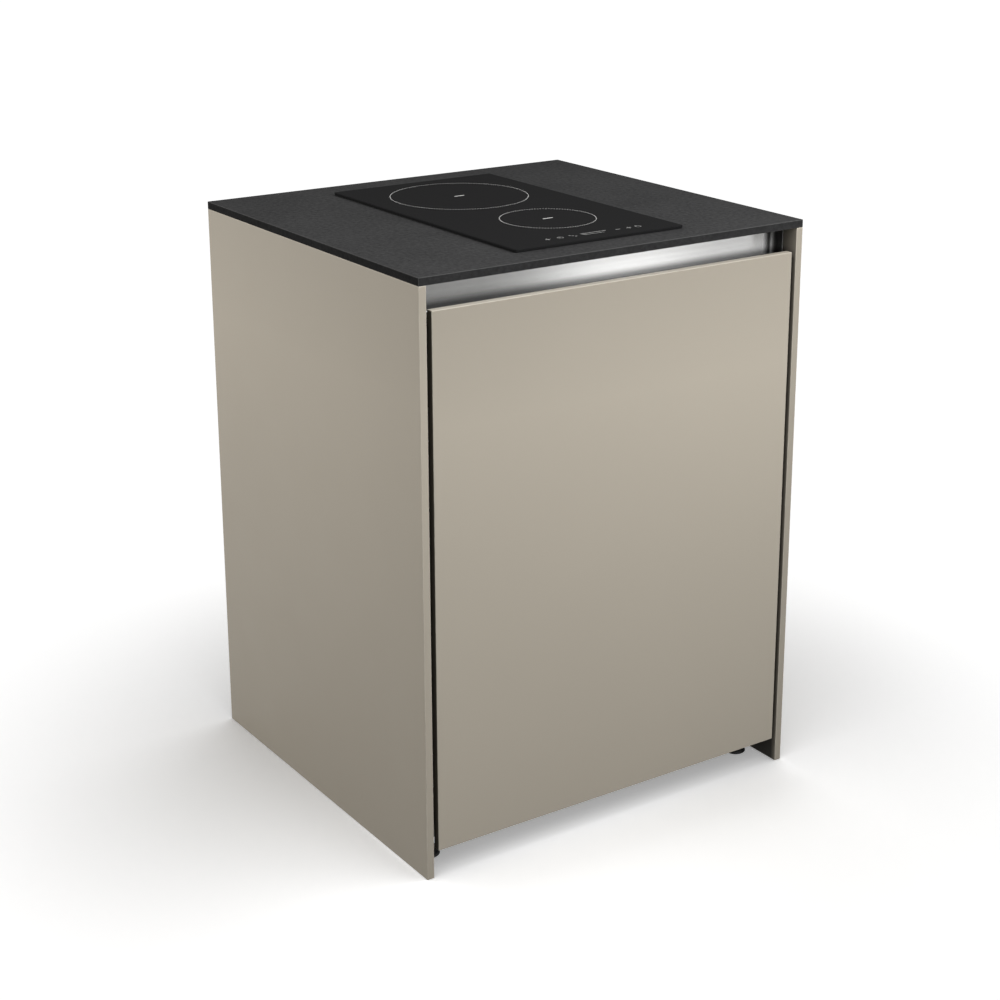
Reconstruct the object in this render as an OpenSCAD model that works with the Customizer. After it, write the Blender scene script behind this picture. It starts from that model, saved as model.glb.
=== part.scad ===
// Mini kitchen unit: a free-standing cabinet with a full-height pull-out front,
// a recessed grip channel and a two-zone induction hob in a thin worktop.
// The origin is on the floor, in the middle of the width and the depth.
// The front faces -Y and all sizes are in millimetres.

/* [Overall size] */
// Width over both side panels
body_w = 680; // [660:1:740]
// Depth over the side panels
body_d = 640; // [625:1:700]
// Height of the worktop's top face above the floor
body_h = 900; // [880:1:950]

/* [Boards] */
// Thickness of the worktop slab
worktop_t = 12; // [10:1:20]
// Thickness of each finished side panel
side_t = 12; // [10:1:16]
// Thickness of the pull-out front
front_t = 12; // [10:1:16]
// Thickness of the finished rear panel
rear_t = 12; // [10:1:16]
// Thickness of the cabinet's own boards
board_t = 18; // [16:1:19]
// Rounding of the finished boards' edges
arris_r = 0.8; // [0.4:0.1:1.5]

/* [Front] */
// Gap between the front and each side panel
front_gap = 8; // [4:1:12]
// Height of the open grip gap between the front and the worktop
grip_gap = 36; // [28:1:42]
// Height of the front's lower edge above the floor
front_lift = 42; // [20:1:55]

/* [Cabinet] */
// How far the cabinet's boards stand behind the side panels' front edges
cabinet_setback = 30; // [26:1:36]
// Height of the cabinet bottom's underside above the floor
cabinet_lift = 60; // [55:1:75]
// Height of the rail under the worktop's rear edge
rear_rail_h = 80; // [60:1:110]
// Joint between the rear panel and its neighbours
rear_joint = 0.3; // [0.2:0.1:0.8]
// How far the rear panel stands in from the side panels' rear edges
rear_inset = 3; // [3:0.5:8]
// Number of ventilation slots in the rear panel
vent_count = 15; // [9:2:19]
// Width of a ventilation slot
vent_w = 7; // [5:1:9]
// Height of a ventilation slot
vent_h = 44; // [30:1:60]
// Pitch of the ventilation slots
vent_pitch = 24; // [16:1:26]
// Diameter of the cable outlet's hole in the rear panel
outlet_d = 60; // [50:1:80]
// Height of the cable outlet above the floor
outlet_z = 170; // [150:1:300]

/* [Grip channel] */
// Height of the channel under the worktop
channel_h = 55; // [50:1:60]
// Depth of the channel behind the cabinet's front edge
channel_d = 22; // [19:1:25]
// Sheet thickness of the channel
channel_wall = 1.5; // [1:0.1:2]
// Inner radius of the scoop along the channel's lower edge
scoop_r = 5; // [3:1:12]
// Inner radius of the channel's closed ends
channel_end_r = 8; // [3:1:12]
// Height of the channel's front lip
lip_h = 6; // [4:1:9]
// Depth of the flange that carries the worktop
flange_d = 8; // [6:1:10]

/* [Hob] */
// Width of the hob's glass
hob_w = 300; // [290:1:330]
// Depth of the hob's glass
hob_d = 520; // [500:1:525]
// Thickness of the hob's glass
glass_t = 4; // [3:0.5:6]
// Bevel around the glass's upper edge
glass_bevel = 1; // [0.4:0.1:1.5]
// Corner radius of the glass
glass_r = 4; // [2:0.5:10]
// Distance from the worktop's front edge to the glass
hob_inset = 51; // [49:1:60]
// Thickness of the sealing strip under the glass
seal_t = 1; // [0.6:0.1:2]
// Overlap of the glass on the worktop around the cut-out
hob_overlap = 13; // [11:0.5:16]
// Clearance of the hob's casing in the cut-out
case_gap = 3; // [2:0.5:5]
// Depth of the hob's casing below the glass
case_h = 54; // [52:1:60]
// Sheet thickness of the hob's casing
case_wall = 1.2; // [0.8:0.1:1.6]
// Outer radius of the large coil
large_r = 100; // [80:1:108]
// Outer radius of the small coil
small_r = 64; // [55:1:72]
// Distance from the glass's rear edge to the large coil's centre
large_back = 140; // [130:1:150]
// Distance from the glass's front edge to the small coil's centre
small_front = 155; // [145:1:165]
// Sideways offset of the small coil
small_offset = 14; // [0:1:25]

/* [Drawers] */
// Thickness of the drawers' sides and backs
drawer_t = 12; // [10:1:16]
// Thickness of the drawers' bases
base_t = 8; // [6:1:10]
// Depth of the grooves that hold the drawers' bases and backs
groove_d = 5; // [3:1:6]
// Depth of the drawers behind the front
drawer_d = 520; // [505:1:540]
// Distance from the worktop's underside down to the upper drawer's upper edge
upper_drop = 118; // [90:1:140]
// Height of the upper drawer's sides
upper_h = 140; // [110:1:150]
// Height of the lower drawer's lower edge above the floor
lower_z = 100; // [98:1:130]
// Height of the lower drawer's sides
lower_h = 260; // [150:1:300]

/* [Runners] */
// Length of the runners
runner_l = 500; // [450:10:500]
// Height of the runners' outer members
runner_h = 45; // [40:1:50]
// Space between a drawer and the cabinet side
runner_t = 13; // [12.5:0.1:14]
// Sheet thickness of the runners' members
runner_sheet = 1.5; // [1.2:0.1:1.8]
// Height of the runners' middle above the drawer's lower edge
runner_up = 50; // [40:1:70]
// Number of balls in one cage of a runner
ball_count = 8; // [4:1:12]

/* [Feet] */
// Diameter of a levelling foot's pad
pad_d = 34; // [26:1:40]
// Height of a levelling foot's pad
pad_h = 9; // [7:0.5:12]
// Diameter of the foot's spindle
spindle_d = 10; // [8:1:12]
// Distance between a foot's axis and the worktop's front or rear edge
foot_inset = 65; // [55:1:80]
// Distance between a foot's axis and the inner face of the side panel
foot_side = 30; // [26:1:50]

/* [Hidden] */
$fn = 48;
LEFT = -1;
RIGHT = 1;
FRONT = -1;
REAR = 1;
// Share of a board's thickness that a blind bore and the screw in it reach
bore_share = 0.7;
screw_share = 0.65;
// Overlap that lets one solid cut cleanly through another
cut = 1;
// Clearance of a screw in its hole and of a turning pin in its bore
fit = 0.05;
// Clearance between faces that slide past each other
slide = 0.5;
lacquer = [0.62, 0.59, 0.53];
stone = [0.2, 0.2, 0.2];
board_grey = [0.42, 0.41, 0.39];
steel = [0.75, 0.75, 0.74];
zinc = [0.62, 0.64, 0.66];
black = [0.08, 0.08, 0.08];

// Main planes
y_front = -body_d/2;
y_back = body_d/2;
top_z = body_h - worktop_t;
panel_x = body_w/2 - side_t;
cab_x = panel_x - board_t;
cab_y0 = y_front + cabinet_setback;
rear_y = y_back - rear_inset;
cab_y1 = rear_y - rear_t;
front_w = 2*(panel_x - front_gap);
front_back_y = y_front + front_t;
front_top = top_z - grip_gap;
channel_z = top_z - channel_h;

// Hob planes
hob_y = y_front + hob_inset + hob_d/2;
glass_z = body_h + seal_t;
cutout_w = hob_w - 2*hob_overlap;
cutout_d = hob_d - 2*hob_overlap;
cutout_r = 6;
case_w = cutout_w - 2*case_gap;
case_d = cutout_d - 2*case_gap;
case_z = glass_z - case_h;
case_floor = case_z + case_wall;
large_y = hob_y + hob_d/2 - large_back;
small_y = hob_y - hob_d/2 + small_front;
coil_t = 4;
coil_eye_margin = 12;
coil_gap = 0.3;
ferrite_t = 4;
carrier_t = 1.5;
coil_z = glass_z - coil_gap - coil_t;
ferrite_z = coil_z - ferrite_t;
carrier_z = ferrite_z - carrier_t;
pillar_r = 4;
pillar_end = 22;
carrier_inset = 10;
case_r = 4;
large_eye_r = 16;
small_eye_r = 12;

// Shield under the hob
shield_t = 1;
shield_fall = 22;
shield_flange = 20;
shield_z = case_z - shield_fall - shield_t;
shield_rear_duct = 60;
shield_front = 6;
shield_y0 = cab_y0 + shield_front;
shield_y1 = cab_y1 - shield_rear_duct;

// Screws
wood_screw_r = 2;
wood_screw_head_r = 3.6;
wood_screw_head_h = 1.3;
wood_screw_l = 12;
pan_head_h = 2;
panel_screw_r = 3;
panel_screw_head_r = 6.5;
panel_screw_head_h = 2.5;
panel_screw_bite = 8;
panel_screw_y = 60;
panel_screw_low = 120;
panel_screw_high = 148;
panel_screw_zs = [cabinet_lift + panel_screw_low, top_z - panel_screw_high];
rear_screw_low = 68;
rear_screw_high = 88;
rear_screw_bite = 22;
rear_screw_z0 = front_lift + rear_screw_low;
rear_screw_z1 = top_z - rear_screw_high;
rear_screw_zs = [rear_screw_z0, (rear_screw_z0 + rear_screw_z1)/2, rear_screw_z1];
shield_screw_r = 1.7;
shield_screw_l = 10;
shield_screw_head_r = 3.2;
shield_screw_head_h = 1.6;
shield_screw_end = 40;
channel_screw_inset = 24;

// Dowels between the cabinet's boards
dowel_r = 4;
dowel_half = 14;
dowel_end = 45;
dowel_rail_end = 12;

// Drawers
upper_z = top_z - upper_drop - upper_h;
drawer_x = cab_x - runner_t;
drawer_y0 = front_back_y;
drawer_y1 = drawer_y0 + drawer_d;
base_up = 8;
back_drop = 10;
back_end = 10;
runner_setback = 2;
runner_y0 = cab_y0 + runner_setback;

// Runner section
ball_gap_outer = 4;
ball_gap_inner = 3.5;
ball_clear = 0.3;
outer_half = runner_h/2;
middle_half = outer_half - runner_sheet - ball_gap_outer;
inner_half = middle_half - runner_sheet - ball_gap_inner;
middle_u = runner_sheet + 2;
ball_setback = 46;
cage_t = 0.8;
cage_end = 10;
runner_hole_front = 37;
runner_hole_pitch = 192;
runner_screw_ys = [for (i = [0:2]) runner_hole_front + i*runner_hole_pitch];

// Feet
spindle_r = spindle_d/2;
socket_plate = 50;
socket_plate_t = 3;
socket_plate_r = 6;
socket_boss_r = 12;
socket_peg_r = 4;
socket_peg_h = 9;
socket_peg_at = 16;
socket_above_pad = 21;
socket_z = pad_h + socket_above_pad;
nut_r = 9.5;
nut_h = 7;
foot_x = panel_x - foot_side;
foot_y = body_d/2 - foot_inset;

// Brackets under the worktop
bracket_leg = 35;
bracket_w = 30;
bracket_t = 3;
bracket_front = 90;
bracket_rear = 95;
bracket_ys = [cab_y0 + bracket_front, cab_y1 - bracket_rear];
bracket_bore_at = 22;

// Brackets behind the front
tab_leg = 30;
tab_bore_at = 18;
tab_h = 70;
tab_t = 2;
tab_up = 40;
tab_screw_zs = [18, 52];

// A rectangle with rounded corners, centred on the origin
module rounded_rect(w, d, r) {
    union() {
        square([w - 2*r, d], center = true);
        square([w, d - 2*r], center = true);
        for (sx = [-1, 1], sy = [-1, 1])
            translate([sx*(w/2 - r), sy*(d/2 - r)])
                circle(r);
    }
}

// A board whose twelve edges are rounded, centred in X and Y, standing on Z = 0
module softened_board(w, d, h, r) {
    intersection() {
        linear_extrude(height = h)
            rounded_rect(w, d, r);
        translate([0, d/2, h/2])
            rotate([90, 0, 0])
                linear_extrude(height = d)
                    rounded_rect(w, h, r);
        translate([-w/2, 0, h/2])
            rotate([90, 0, 90])
                linear_extrude(height = w)
                    rounded_rect(d, h, r);
    }
}

// A plain block from one corner to the opposite one
module block(low, high) {
    translate(low)
        cube(high - low);
}

// A screw along +Z with its head under Z = 0 and a hexagonal socket
module screw(r, l, head_r, head_h) {
    socket_h = head_h*0.6;
    difference() {
        union() {
            cylinder(r = r, h = l);
            translate([0, 0, -head_h])
                cylinder(r = head_r, h = head_h);
        }
        translate([0, 0, -head_h - cut])
            cylinder(r = r*0.8, h = socket_h + cut, $fn = 6);
    }
}

module wood_screw() {
    screw(wood_screw_r, wood_screw_l, wood_screw_head_r, wood_screw_head_h);
}

// Places for the screws that join the cabinet sides to the finished panels
module at_panel_screws(side) {
    for (y = [cab_y0 + panel_screw_y, cab_y1 - panel_screw_y], z = panel_screw_zs)
        translate([side*cab_x, y, z])
            rotate([0, side*90, 0])
                children();
}

// Finished side panels
module side_panel(side) {
    color(lacquer)
        difference() {
            translate([side*(panel_x + side_t/2), 0, 0])
                softened_board(side_t, body_d, top_z, arris_r);
            at_panel_screws(side)
                cylinder(r = panel_screw_r + fit, h = board_t + panel_screw_bite);
        }
}

module left_side_panel() {
    side_panel(LEFT);
}

module right_side_panel() {
    side_panel(RIGHT);
}

// Worktop slab with the hob's cut-out and the blind holes of its brackets
module worktop() {
    color(stone)
        difference() {
            translate([0, 0, top_z])
                softened_board(body_w, body_d, worktop_t, arris_r);
            translate([0, hob_y, top_z - cut])
                linear_extrude(height = worktop_t + 2*cut)
                    rounded_rect(cutout_w, cutout_d, cutout_r);
            at_worktop_bores()
                cylinder(r = wood_screw_r + fit, h = worktop_t*bore_share);
            at_channel_screws()
                cylinder(r = shield_screw_r + fit, h = worktop_t*bore_share);
        }
}

// Cabinet sides, notched at the top front for the grip channel
module cabinet_side(side) {
    outline = [
        [cab_y0, cabinet_lift],
        [cab_y1, cabinet_lift],
        [cab_y1, top_z],
        [cab_y0 + channel_d, top_z],
        [cab_y0 + channel_d, channel_z],
        [cab_y0, channel_z]
    ];
    color(board_grey)
        difference() {
            translate([side > 0 ? cab_x : -panel_x, 0, 0])
                rotate([90, 0, 90])
                    linear_extrude(height = board_t)
                        polygon(outline);
            at_panel_screws(side)
                translate([0, 0, -cut])
                    cylinder(r = panel_screw_r + fit, h = board_t + 2*cut);
            at_side_bores(side)
                cylinder(r = wood_screw_r + fit, h = wood_screw_l + fit);
            at_runner_screws(side)
                cylinder(r = wood_screw_r + fit, h = wood_screw_l + fit);
            at_rear_screws(side)
                cylinder(r = wood_screw_r + fit, h = rear_t + rear_screw_bite + fit);
            at_dowels(side)
                cylinder(r = dowel_r + fit, h = dowel_half + fit);
            at_shield_screws(side)
                cylinder(r = shield_screw_r + fit, h = shield_screw_l + fit);
        }
}

module cabinet_side_left() {
    cabinet_side(LEFT);
}

module cabinet_side_right() {
    cabinet_side(RIGHT);
}

// Places of the dowels on the inner face of a cabinet side, pointing outwards
module at_dowels(side) {
    bottom_z = cabinet_lift + board_t/2;
    rail_y = cab_y1 - board_t/2;
    for (y = [cab_y0 + dowel_end, (cab_y0 + cab_y1)/2, cab_y1 - dowel_end])
        translate([side*cab_x, y, bottom_z])
            rotate([0, side*90, 0])
                children();
    for (z = [top_z - rear_rail_h + dowel_rail_end, top_z - dowel_rail_end])
        translate([side*cab_x, rail_y, z])
            rotate([0, side*90, 0])
                children();
}

// Bores for the inner halves of the dowels
module dowel_bores() {
    for (side = [LEFT, RIGHT])
        at_dowels(side)
            translate([0, 0, -dowel_half - fit])
                cylinder(r = dowel_r + fit, h = dowel_half + fit + cut);
}

module cabinet_dowels() {
    bevel = 1;
    color([0.72, 0.58, 0.4])
        for (side = [LEFT, RIGHT])
            at_dowels(side)
                rotate_extrude()
                    polygon([[0, -dowel_half], [dowel_r - bevel, -dowel_half],
                        [dowel_r, -dowel_half + bevel], [dowel_r, dowel_half - bevel],
                        [dowel_r - bevel, dowel_half], [0, dowel_half]]);
}

// Cabinet bottom with the bores of its dowels and of the foot sockets' pegs
module cabinet_bottom() {
    color(board_grey)
        difference() {
            block([-cab_x, cab_y0, cabinet_lift], [cab_x, cab_y1, cabinet_lift + board_t]);
            dowel_bores();
            at_feet()
                at_socket_pegs()
                    translate([0, 0, cabinet_lift - cut])
                        cylinder(r = socket_peg_r + fit, h = socket_peg_h + fit + cut);
        }
}

// Rail under the worktop's rear edge, notched behind the hob for its casing and its cable
module rear_rail() {
    notch_gap = 8;
    notch_half = case_w/2 + notch_gap;
    color(board_grey)
        difference() {
            block([-cab_x, cab_y1 - board_t, top_z - rear_rail_h], [cab_x, cab_y1, top_z]);
            block([-notch_half, cab_y1 - board_t - cut, case_z - notch_gap],
                [notch_half, cab_y1 + cut, top_z + cut]);
            dowel_bores();
        }
}

// Places of the screws in the rear panel, pointing into a cabinet side
module at_rear_screws(side) {
    for (z = rear_screw_zs)
        translate([side*(cab_x + board_t/2), rear_y, z])
            rotate([90, 0, 0])
                children();
}

// Finished rear panel with ventilation slots under the rail and a cable outlet
module rear_panel() {
    vent_drop = 12;
    rear_w = 2*(panel_x - rear_joint);
    rear_h = top_z - rear_joint - front_lift;
    vent_top = top_z - rear_rail_h - vent_drop;
    vent_x = -vent_pitch*(vent_count - 1)/2;
    color(lacquer)
        difference() {
            translate([0, rear_y - rear_t/2, front_lift])
                softened_board(rear_w, rear_t, rear_h, arris_r);
            for (i = [0:vent_count - 1])
                translate([vent_x + i*vent_pitch, rear_y + cut, vent_top - vent_h/2])
                    rotate([90, 0, 0])
                        linear_extrude(height = rear_t + 2*cut)
                            rounded_rect(vent_w, vent_h, vent_w/2 - 0.01);
            translate([0, rear_y + cut, outlet_z])
                rotate([90, 0, 0])
                    cylinder(r = outlet_d/2, h = rear_t + 2*cut);
            for (side = [LEFT, RIGHT])
                at_rear_screws(side)
                    translate([0, 0, -cut])
                        cylinder(r = wood_screw_r + fit, h = rear_t + 2*cut);
        }
}

// Plastic grommet that lines the cable outlet
module cable_grommet() {
    collar_r = outlet_d/2 + 5;
    collar_t = 2;
    sleeve_t = 3;
    sleeve_l = rear_t + 3;
    color(black)
        translate([0, rear_y, outlet_z])
            rotate([90, 0, 0])
                difference() {
                    union() {
                        translate([0, 0, -collar_t])
                            cylinder(r1 = collar_r - 1, r2 = collar_r, h = collar_t);
                        cylinder(r = outlet_d/2 - fit, h = sleeve_l);
                    }
                    translate([0, 0, -collar_t - cut])
                        cylinder(r = outlet_d/2 - sleeve_t, h = sleeve_l + collar_t + 2*cut);
                }
}

// Places of the screws in the shield's flanges, pointing into a cabinet side
module at_shield_screws(side) {
    for (y = [shield_y0 + shield_screw_end, shield_y1 - shield_screw_end])
        translate([side*cab_x, y, shield_z - shield_flange/2])
            rotate([0, side*90, 0])
                children();
}

// Folded sheet that keeps the drawers apart from the hob, with a flange on each cabinet side
module heat_shield() {
    section = [
        [-cab_x, shield_z - shield_flange],
        [-cab_x + shield_t, shield_z - shield_flange],
        [-cab_x + shield_t, shield_z],
        [cab_x - shield_t, shield_z],
        [cab_x - shield_t, shield_z - shield_flange],
        [cab_x, shield_z - shield_flange],
        [cab_x, shield_z + shield_t],
        [-cab_x, shield_z + shield_t]
    ];
    color(zinc)
        difference() {
            translate([0, shield_y1, 0])
                rotate([90, 0, 0])
                    linear_extrude(height = shield_y1 - shield_y0)
                        polygon(section);
            for (side = [LEFT, RIGHT])
                at_shield_screws(side)
                    translate([0, 0, -shield_t - cut])
                        cylinder(r = shield_screw_r + fit, h = shield_t + 2*cut);
        }
}

// A closed channel's section in Y and Z, with a rounded lower rear corner
module channel_section(inset, r, top) {
    width = channel_d - 2*inset;
    union() {
        translate([inset, inset + r])
            square([width, top - inset - r]);
        translate([inset, inset])
            square([width - r, r + cut]);
        translate([channel_d - inset - r, inset + r])
            circle(r);
    }
}

// The channel's plan in X and Y, with rounded rear corners and a front that runs out
module channel_plan(inset, r, front) {
    half = panel_x - inset;
    union() {
        translate([-half, -front])
            square([2*half, front + channel_d - inset - r]);
        translate([-half + r, 0])
            square([2*half - 2*r, channel_d - inset]);
        for (s = [-1, 1])
            translate([s*(half - r), channel_d - inset - r])
                circle(r);
    }
}

// Places of the screws in the channel's flange, pointing up into the worktop
module at_channel_screws() {
    for (x = [-1, -1/3, 1/3, 1])
        translate([x*(panel_x - channel_screw_inset),
            cab_y0 + channel_d - channel_wall - flange_d/2, top_z])
            children();
}

// Pressed steel grip channel with a scooped lower edge, closed rounded ends and a top flange
module grip_channel() {
    color(steel)
        difference() {
            channel_shell();
            at_channel_screws()
                translate([0, 0, -channel_wall - cut])
                    cylinder(r = shield_screw_r + fit, h = channel_wall + 2*cut);
        }
}

// The channel before its flange is drilled
module channel_shell() {
    inner_half = panel_x - channel_wall;
    translate([0, cab_y0, channel_z])
        union() {
            difference() {
                intersection() {
                    translate([-panel_x, 0, 0])
                        rotate([90, 0, 90])
                            linear_extrude(height = 2*panel_x)
                                channel_section(0, scoop_r + channel_wall, channel_h);
                    linear_extrude(height = channel_h)
                        channel_plan(0, channel_end_r + channel_wall, 0);
                }
                intersection() {
                    translate([-panel_x, 0, 0])
                        rotate([90, 0, 90])
                            linear_extrude(height = 2*panel_x)
                                channel_section(channel_wall, scoop_r, channel_h + cut);
                    linear_extrude(height = channel_h + 2*cut)
                        channel_plan(channel_wall, channel_end_r, 0);
                }
                translate([-inner_half, -cut, lip_h])
                    cube([2*inner_half, channel_wall + 2*cut, channel_h]);
            }
            translate([-inner_half, channel_d - channel_wall - flange_d, channel_h - channel_wall])
                cube([2*inner_half, flange_d, channel_wall]);
        }
}

// Places of the angle brackets: X along the leg on the worktop, Z up to the worktop
module at_worktop_brackets() {
    for (side = [LEFT, RIGHT], y = bracket_ys)
        translate([side*cab_x, y, top_z])
            mirror([side > 0 ? 1 : 0, 0, 0])
                children();
}

// Blind bores in the worktop for the bracket screws
module at_worktop_bores() {
    at_worktop_brackets()
        translate([bracket_bore_at, 0, 0])
            children();
}

// Blind bores in a cabinet side for the bracket screws
module at_side_bores(side) {
    for (y = bracket_ys)
        translate([side*cab_x, y, top_z - bracket_bore_at])
            rotate([0, side*90, 0])
                children();
}

// Angle brackets that carry the worktop on the cabinet sides
module worktop_brackets() {
    color(zinc)
        at_worktop_brackets()
            difference() {
                union() {
                    block([0, -bracket_w/2, -bracket_leg], [bracket_t, bracket_w/2, 0]);
                    block([0, -bracket_w/2, -bracket_t], [bracket_leg, bracket_w/2, 0]);
                }
                translate([bracket_bore_at, 0, -bracket_t - cut])
                    cylinder(r = wood_screw_r + fit, h = bracket_t + 2*cut);
                translate([-cut, 0, -bracket_bore_at])
                    rotate([0, 90, 0])
                        cylinder(r = wood_screw_r + fit, h = bracket_t + 2*cut);
            }
}

// Screws of the brackets, of the heat shield's flanges and of the grip channel's flange
module bracket_screws() {
    bite = wood_screw_l - bracket_t;
    color(zinc) {
        at_worktop_brackets() {
            translate([bracket_bore_at, 0, -bracket_t])
                screw(wood_screw_r, bracket_t + worktop_t*screw_share, wood_screw_head_r,
                    pan_head_h);
            translate([bracket_t, 0, -bracket_bore_at])
                rotate([0, -90, 0])
                    screw(wood_screw_r, bracket_t + bite, wood_screw_head_r, pan_head_h);
        }
        for (side = [LEFT, RIGHT])
            at_shield_screws(side)
                translate([0, 0, -shield_t])
                    screw(shield_screw_r, shield_t + shield_screw_l, shield_screw_head_r,
                        shield_screw_head_h);
        at_channel_screws()
            translate([0, 0, -channel_wall])
                screw(shield_screw_r, channel_wall + worktop_t*screw_share, shield_screw_head_r,
                    shield_screw_head_h);
    }
}

module panel_screws() {
    color(zinc)
        for (side = [LEFT, RIGHT])
            at_panel_screws(side)
                screw(panel_screw_r, board_t + panel_screw_bite - fit, panel_screw_head_r,
                    panel_screw_head_h);
}

module rear_screws() {
    color(zinc)
        for (side = [LEFT, RIGHT])
            at_rear_screws(side)
                screw(wood_screw_r, rear_t + rear_screw_bite, wood_screw_head_r, pan_head_h);
}

// Places of the feet's axes, on the floor
module at_feet() {
    for (sx = [LEFT, RIGHT], sy = [FRONT, REAR])
        translate([sx*foot_x, sy*foot_y, 0])
            mirror([sx > 0 ? 1 : 0, 0, 0])
                children();
}

// Places of a socket's pegs, on the side away from the cabinet side
module at_socket_pegs() {
    for (s = [-1, 1])
        translate([socket_peg_at, s*socket_peg_at, 0])
            children();
}

// Sockets of the levelling feet, pressed with their pegs into the cabinet bottom
module foot_sockets() {
    color(black)
        at_feet()
            difference() {
                union() {
                    translate([0, 0, cabinet_lift - socket_plate_t])
                        linear_extrude(height = socket_plate_t)
                            rounded_rect(socket_plate, socket_plate, socket_plate_r);
                    translate([0, 0, socket_z])
                        cylinder(r1 = socket_boss_r - 2, r2 = socket_boss_r,
                            h = cabinet_lift - socket_plate_t - socket_z);
                    for (turn = [0:90:270])
                        rotate([0, 0, turn + 45])
                            socket_rib();
                    at_socket_pegs()
                        translate([0, 0, cabinet_lift - socket_plate_t])
                            cylinder(r = socket_peg_r, h = socket_plate_t + socket_peg_h);
                }
                translate([0, 0, socket_z - cut])
                    cylinder(r = spindle_r + fit, h = cabinet_lift - socket_z + 2*cut);
            }
}

// One gusset between a foot socket's boss and its plate
module socket_rib() {
    rib_t = 2.5;
    rib_reach = socket_plate/2 - 1;
    rib_drop = 16;
    rib_root = spindle_r + 2;
    translate([0, rib_t/2, cabinet_lift - socket_plate_t])
        rotate([90, 0, 0])
            linear_extrude(height = rib_t)
                polygon([[rib_root, 0], [rib_reach, 0], [socket_boss_r - 1, -rib_drop],
                    [rib_root, -rib_drop]]);
}

// A levelling foot: tapered pad, hexagon for the spanner and spindle
module levelling_foot(sx, sy) {
    pad_r = pad_d/2;
    pad_edge = 3;
    pad_bevel = 1;
    pad_neck_r = nut_r + 0.5;
    spindle_h = cabinet_lift - 3;
    color(black)
        translate([sx*foot_x, sy*foot_y, 0])
            union() {
                rotate_extrude()
                    polygon([[0, 0], [pad_r - pad_bevel, 0], [pad_r, pad_bevel],
                        [pad_r, pad_edge], [pad_neck_r, pad_h], [0, pad_h]]);
                translate([0, 0, pad_h - fit])
                    cylinder(r = nut_r, h = nut_h + fit, $fn = 6);
                cylinder(r = spindle_r, h = spindle_h);
            }
}

module foot_front_left() {
    levelling_foot(LEFT, FRONT);
}

module foot_front_right() {
    levelling_foot(RIGHT, FRONT);
}

module foot_rear_left() {
    levelling_foot(LEFT, REAR);
}

module foot_rear_right() {
    levelling_foot(RIGHT, REAR);
}

// Black glass plate with small corner radii and a bevel around its upper edge
module hob_glass() {
    module bevelled_section(w) {
        polygon([[-w/2, 0], [w/2, 0], [w/2, glass_t - glass_bevel], [w/2 - glass_bevel, glass_t],
            [-w/2 + glass_bevel, glass_t], [-w/2, glass_t - glass_bevel]]);
    }
    color(black)
        translate([0, hob_y, glass_z])
            intersection() {
                linear_extrude(height = glass_t)
                    rounded_rect(hob_w, hob_d, glass_r);
                translate([0, hob_d/2, 0])
                    rotate([90, 0, 0])
                        linear_extrude(height = hob_d)
                            bevelled_section(hob_w);
                translate([-hob_w/2, 0, 0])
                    rotate([90, 0, 90])
                        linear_extrude(height = hob_w)
                            bevelled_section(hob_d);
            }
}

// Sealing strip between the glass and the worktop
module hob_seal() {
    seal_edge = 1.5;
    color(black)
        translate([0, hob_y, body_h])
            linear_extrude(height = seal_t)
                difference() {
                    rounded_rect(hob_w - 2*seal_edge, hob_d - 2*seal_edge, glass_r);
                    rounded_rect(cutout_w + 2, cutout_d + 2, cutout_r);
                }
}

// Places of the pillars that hold the coil carrier
module at_carrier_pillars() {
    for (sx = [-1, 1], sy = [-1, 0, 1])
        translate([sx*(case_w/2 - carrier_inset - pillar_r),
            hob_y + sy*(case_d/2 - pillar_end), 0])
            children();
}

// Ring-shaped grille of three ribs around a disc, as a cut through a sheet
module grille_cut(r, eye_r, rib_w, depth) {
    difference() {
        cylinder(r = r, h = depth);
        cylinder(r = eye_r, h = depth);
        for (turn = [0, 60, 120])
            rotate([0, 0, turn])
                translate([-r, -rib_w/2, 0])
                    cube([2*r, rib_w, depth]);
    }
}

// Pressed steel casing with an open top, an air inlet under the fan and outlet slots
module hob_case() {
    inlet_r = fan_wheel_r - 4;
    inlet_eye_r = 10;
    inlet_rib = 3;
    slot_count = 9;
    slot_pitch = 20;
    slot_w = 12;
    slot_h = 6;
    slot_up = 14;
    color(zinc)
        difference() {
            translate([0, hob_y, case_z])
                linear_extrude(height = case_h)
                    rounded_rect(case_w, case_d, case_r);
            translate([0, hob_y, case_floor])
                linear_extrude(height = case_h)
                    rounded_rect(case_w - 2*case_wall, case_d - 2*case_wall,
                        case_r - case_wall);
            translate([fan_x, fan_y, case_z - cut])
                grille_cut(inlet_r, inlet_eye_r, inlet_rib, case_wall + 2*cut);
            for (i = [0:slot_count - 1])
                translate([(i - (slot_count - 1)/2)*slot_pitch, hob_y + case_d/2 + cut,
                    case_z + slot_up])
                    rotate([90, 0, 0])
                        linear_extrude(height = case_wall + 2*cut)
                            rounded_rect(slot_w, slot_h, slot_h/2 - 0.1);
        }
}

// Spring clamps between the casing's sides and the worktop's underside
module hob_clamps() {
    clamp_w = 24;
    clamp_t = 1.5;
    clamp_grip = 14;
    clamp_reach = case_gap + clamp_grip;
    clamp_drop = 22;
    clamp_end = 94;
    color(zinc)
        for (s = [-1, 1], sy = [-1, 1])
            translate([s*case_w/2, hob_y + sy*(case_d/2 - clamp_end), top_z])
                mirror([s > 0 ? 0 : 1, 0, 0])
                    rotate([90, 0, 0])
                        translate([0, 0, -clamp_w/2])
                            linear_extrude(height = clamp_w)
                                polygon([[0, -clamp_drop], [clamp_t, -clamp_drop],
                                    [clamp_t, -2*clamp_t], [clamp_reach, -clamp_t],
                                    [clamp_reach, 0], [case_gap + clamp_t, 0], [0, -clamp_t]]);
}

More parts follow.
